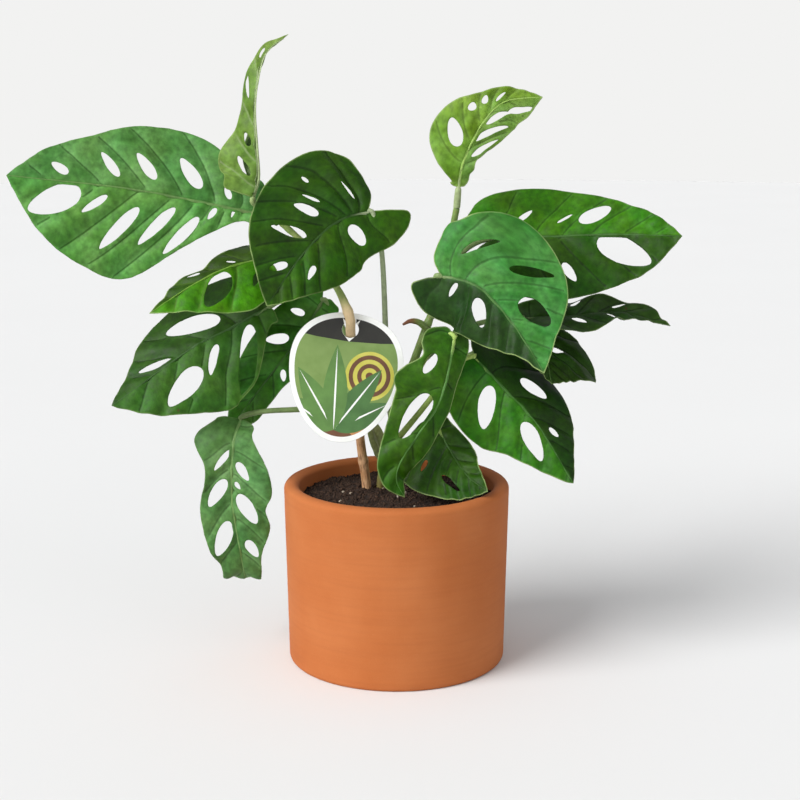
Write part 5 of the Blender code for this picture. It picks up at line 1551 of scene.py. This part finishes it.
def bark_finish():
    """Old vine stem: dry tan bark with lengthwise cracks, green where it is young, past the tag."""
    made, tree, shader = new_finish("dry_vine_bark", Roughness=0.75)
    where = add(tree, "ShaderNodeTexCoord", output="Object")
    level = add(tree, "ShaderNodeSeparateXYZ", {"Vector": where}, "Z")
    long_way = add(tree, "ShaderNodeMapping", {"Vector": where, "Scale": (1, 1, 0.22)})
    cracks = add(tree, "ShaderNodeTexNoise", lumps(long_way, 1.3, 4.0), "Fac")
    patches = add(tree, "ShaderNodeTexNoise", lumps(where, 12.0, 3.0), "Fac")
    colour = overlaid(tree, paint("#B9885C"), paint("#DDB287"), patches, (0.35, 0.65))
    colour = overlaid(tree, colour, paint("#74492A"), cracks, (0.48, 0.62), (0.0, 0.7))
    colour = overlaid(tree, colour, paint("#CDB88F"), level, metres(BARK_PALE), (0.0, 0.8), **SMOOTH)
    green = overlaid(tree, paint("#6F8A3F"), paint("#93A35A"), patches, (0.35, 0.65))
    colour = overlaid(tree, colour, green, level, metres(BARK_GREEN), **SMOOTH)
    set_looks(tree, shader, colour, cracks, 0.8, 0.5)
    return made


def green_stem_finish():
    """Younger vine stem: olive green skin, a little corky low down and at its dry spur."""
    made, tree, shader = new_finish("green_vine_skin", Roughness=0.5)
    where = add(tree, "ShaderNodeTexCoord", output="Object")
    level = add(tree, "ShaderNodeSeparateXYZ", {"Vector": where}, "Z")
    along = add(tree, "ShaderNodeSeparateXYZ", {"Vector": where}, "X")
    patches = add(tree, "ShaderNodeTexNoise", lumps(where, 10.0, 3.0), "Fac")
    cork = add(tree, "ShaderNodeTexNoise", lumps(where, 1.6, 3.0), "Fac")
    high = add(tree, "ShaderNodeMath", {"Value1": level, "Value2": SPUR_LEVEL * MM}, operation="GREATER_THAN")
    colour = overlaid(tree, paint("#5C7A34"), paint("#7F9A50"), patches, (0.35, 0.65))
    colour = overlaid(tree, colour, paint("#7E6238"), level, metres(CORK_TOP), (0.8, 0.0))
    colour = overlaid(tree, colour, paint("#6E3F22"), along, metres(SPUR_TIP), (1.0, 0.0), [high], **SMOOTH)
    colour = overlaid(tree, colour, paint("#8A7742"), cork, (0.52, 0.72), (0.0, 0.5))
    set_looks(tree, shader, colour, cork, 0.5, 0.2)
    return made


def soil_finish(name, dark, light):
    """Damp potting compost: nearly black brown, crumbly and without gloss."""
    made, tree, shader = new_finish(name, Roughness=0.95, Specular_IOR_Level=0.25)
    where = add(tree, "ShaderNodeTexCoord", output="Object")
    crumbs = add(tree, "ShaderNodeTexNoise", lumps(where, 1.6, 4.0), "Fac")
    patches = add(tree, "ShaderNodeTexNoise", lumps(where, 9.0), "Fac")
    damp = add(tree, "ShaderNodeMapRange", {"Value": patches, **limits(*USUAL_NOISE, 0.5, 1.0)})
    colour = overlaid(tree, paint(dark), paint(light), crumbs, (0.35, 0.7), weights=[damp])
    set_looks(tree, shader, colour, crumbs, 0.9, 0.6)
    return made


def perlite_finish():
    """Perlite: chalky white volcanic grains, dusty with soil."""
    made, tree, shader = new_finish("dusty_perlite", Roughness=0.9)
    where = add(tree, "ShaderNodeTexCoord", output="Object")
    dust = add(tree, "ShaderNodeTexNoise", lumps(where, 1.2, 3.0), "Fac")
    set_looks(tree, shader, overlaid(tree, paint("#C9BFAE"), paint("#8A7762"), dust, (0.4, 0.65)))
    return made


def terracotta_finish():
    """Unglazed terracotta, turned and bisque fired: matt orange clay with a fine sandy grain, faint lines
    from the wheel, and cloudy patches of lighter and redder clay.
    """
    made, tree, shader = new_finish("bisque_terracotta", Roughness=0.82, Specular_IOR_Level=0.3)
    where = add(tree, "ShaderNodeTexCoord", output="Object")
    round_it = add(tree, "ShaderNodeMapping", {"Vector": where, "Scale": (0.05, 0.05, 1.0)})
    clouds = add(tree, "ShaderNodeTexNoise", lumps(where, 45.0, 4.0), "Fac")
    sand = add(tree, "ShaderNodeTexNoise", lumps(where, 0.9, 3.0), "Fac")
    rings = add(tree, "ShaderNodeTexNoise", lumps(round_it, 2.4, 3.0), "Fac")
    colour = overlaid(tree, paint("#B0622F"), paint("#BA6E3C"), clouds, USUAL_NOISE)
    colour = overlaid(tree, colour, paint("#94502A"), rings, (0.45, 0.75), (0.0, 0.14))
    colour = overlaid(tree, colour, paint("#BE7C4C"), sand, (0.58, 0.75), (0.0, 0.22))
    relief = add(tree, "ShaderNodeMath", {"Value1": rings, "Value2": 0.6, "Value3": sand}, **SUM)
    set_looks(tree, shader, colour, relief, 0.3, 0.2)
    return made


def card_finish(name, ink, shade):
    """Laminated card, printed: even ink with a faint tooth under a soft gloss film."""
    made, tree, shader = new_finish(name, Roughness=0.4, Coat_Weight=0.3, Coat_Roughness=0.25)
    where = add(tree, "ShaderNodeTexCoord", output="Object")
    tooth = add(tree, "ShaderNodeTexNoise", lumps(where, 1.5), "Fac")
    wash = add(tree, "ShaderNodeTexNoise", lumps(where, 9.0), "Fac")
    even = add(tree, "ShaderNodeMapRange", {"Value": tooth, **limits(0.2, 0.8, 0.6, 1.0)})
    colour = overlaid(tree, paint(ink), paint(shade), wash, USUAL_NOISE, weights=[even])
    set_looks(tree, shader, colour, tooth, 0.15, 0.05)
    return made


def card_finishes():
    """The bare card and its inks, in the order of the print's numbers."""
    inks = (
        ("bare_card", "#F1F2EE", "#E4E6E0"), ("ink_grass_green", "#7A9450", "#69863F"),
        ("ink_leaf_green", "#4E7434", "#608A40"), ("ink_deep_green", "#3A622C", "#4A763A"),
        ("ink_yellow", "#B9B443", "#C9C45C"), ("ink_brown", "#5B3721", "#6E472B"),
        ("ink_tan", "#A8713F", "#BF8A55"), ("ink_black", "#17160F", "#24231B"),
    )
    return [card_finish(*ink) for ink in inks]


def floor_and_dome():
    """A pale floor, and a pale dome that only the camera sees."""
    ring = round_loop((0.0, 0.0), STAGE_RADIUS, STAGE_RADIUS, STAGE_SIDES)
    mesh = bpy.data.meshes.new("studio_floor")
    mesh.from_pydata((np.column_stack([ring, np.zeros(STAGE_SIDES)]) * MM).tolist(), [], [range(STAGE_SIDES)])
    finish, tree, shader = new_finish("matt_studio_floor", Roughness=0.95, Specular_IOR_Level=0.1)
    where = add(tree, "ShaderNodeTexCoord", output="Object")
    clouds = add(tree, "ShaderNodeTexNoise", lumps(where, 400.0), "Fac")
    set_looks(tree, shader, overlaid(tree, paint("#E6E6E5"), paint("#E3E3E2"), clouds, (0.0, 1.0)))
    show("studio_floor", mesh, finish)
    glow, _, _ = new_finish("evenly_lit_backdrop", Base_Color=(0, 0, 0, 1), Roughness=1.0,
                            Specular_IOR_Level=0.0, Emission_Color=paint("#F2F2F1"), Emission_Strength=1.0)
    profile = [(0.0, -DOME_BELOW), (STAGE_RADIUS, -DOME_BELOW)]
    for rise in np.linspace(0.0, math.pi / 2, DOME_RINGS)[:-1]:
        profile.append((STAGE_RADIUS * math.cos(rise), STAGE_RADIUS * math.sin(rise)))
    dome = turned("studio_dome", [*profile, (0.0, STAGE_RADIUS)], STAGE_SIDES, glow)
    dome.data.flip_normals()
    for seen in ("visible_diffuse", "visible_glossy", "visible_transmission", "visible_shadow"):
        setattr(dome, seen, False)


def light_up():
    """An even pale sky, a broad soft light high on the left in front, and a weaker one on the right."""
    world = bpy.context.scene.world or bpy.data.worlds.new("studio")
    bpy.context.scene.world = world
    world.use_nodes = True
    sky = world.node_tree.nodes["Background"]
    sky.inputs["Color"].default_value = paint("#FBFCFF")
    sky.inputs["Strength"].default_value = SKY_STRENGTH
    for name, place, strength, softness in LIGHTS:
        lamp = bpy.data.lights.new(name, "SUN")
        lamp.energy = strength
        lamp.angle = math.radians(softness)
        light = bpy.data.objects.new(name, lamp)
        light.location = place
        light.rotation_euler = (-Vector(place)).to_track_quat("-Z", "Y").to_euler()
        bpy.context.scene.collection.objects.link(light)


def set_camera():
    """The camera, in front of the plant and a little above it."""
    view = bpy.data.cameras.new("front_camera")
    view.lens = CAMERA_LENS
    view.sensor_width = SENSOR_WIDTH
    camera = bpy.data.objects.new("front_camera", view)
    camera.location = Vector(CAMERA_PLACE) * MM
    camera.rotation_euler = (math.radians(90 + CAMERA_PITCH), 0, 0)
    bpy.context.scene.collection.objects.link(camera)
    bpy.context.scene.camera = camera
    bpy.context.scene.view_settings.view_transform = "Standard"


def plant(tube):
    """The leaves with their stalks, and the two stems."""
    skin = leaf_finish()
    stalk = stalk_finish()
    for leaf in LEAVES:
        blade = Blade(leaf)
        slot = "leaf_young" if leaf.young else "leaf_green"
        hand_over(blade_piece(blade, skin), slot, leaf.name)
        hand_over(stalk_piece(blade, tube, stalk), "stem_green")
    stems = ((WOODY_STEM, bark_finish(), "bark"), (GREEN_STEM, green_stem_finish(), "stem_green"))
    for stem, finish, slot in stems:
        for piece in stem_pieces(stem, tube, finish):
            hand_over(piece, slot, stem["name"])


def filled_pot(crumbs):
    """The pot, its soil, and the crumbs and perlite that lie on it."""
    hand_over(pot_piece(terracotta_finish()), "terracotta", "pot")
    soil = soil_piece(soil_finish("damp_compost", "#211712", "#46342A"))
    dry = soil_finish("compost_crumbs", "#231813", "#584234")
    grains = scattered("soil_crumbs", soil, crumbs, CRUMBS_PER_AREA, CRUMB_SIZE, 1, 3, dry)
    white = perlite_finish()
    perlite = scattered("perlite_grains", soil, crumbs, PERLITE_PER_AREA, PERLITE_SIZE, 2, 8, white)
    hand_over(soil, "potting_soil", "soil")
    hand_over(grains, "potting_soil")
    hand_over(perlite, "potting_soil")


def main():
    tube = tube_tree()
    crumbs = crumb_tree()
    plant(tube)
    filled_pot(crumbs)
    hand_over(tag_piece(card_finishes()), "printed_card", "name_tag")
    floor_and_dome()
    light_up()
    set_camera()


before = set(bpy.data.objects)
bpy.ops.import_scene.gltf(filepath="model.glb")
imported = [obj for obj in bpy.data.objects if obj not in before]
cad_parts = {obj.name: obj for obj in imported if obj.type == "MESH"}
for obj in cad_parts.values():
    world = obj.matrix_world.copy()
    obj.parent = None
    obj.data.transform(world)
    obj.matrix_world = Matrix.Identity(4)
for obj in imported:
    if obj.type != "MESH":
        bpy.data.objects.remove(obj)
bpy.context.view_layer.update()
main()
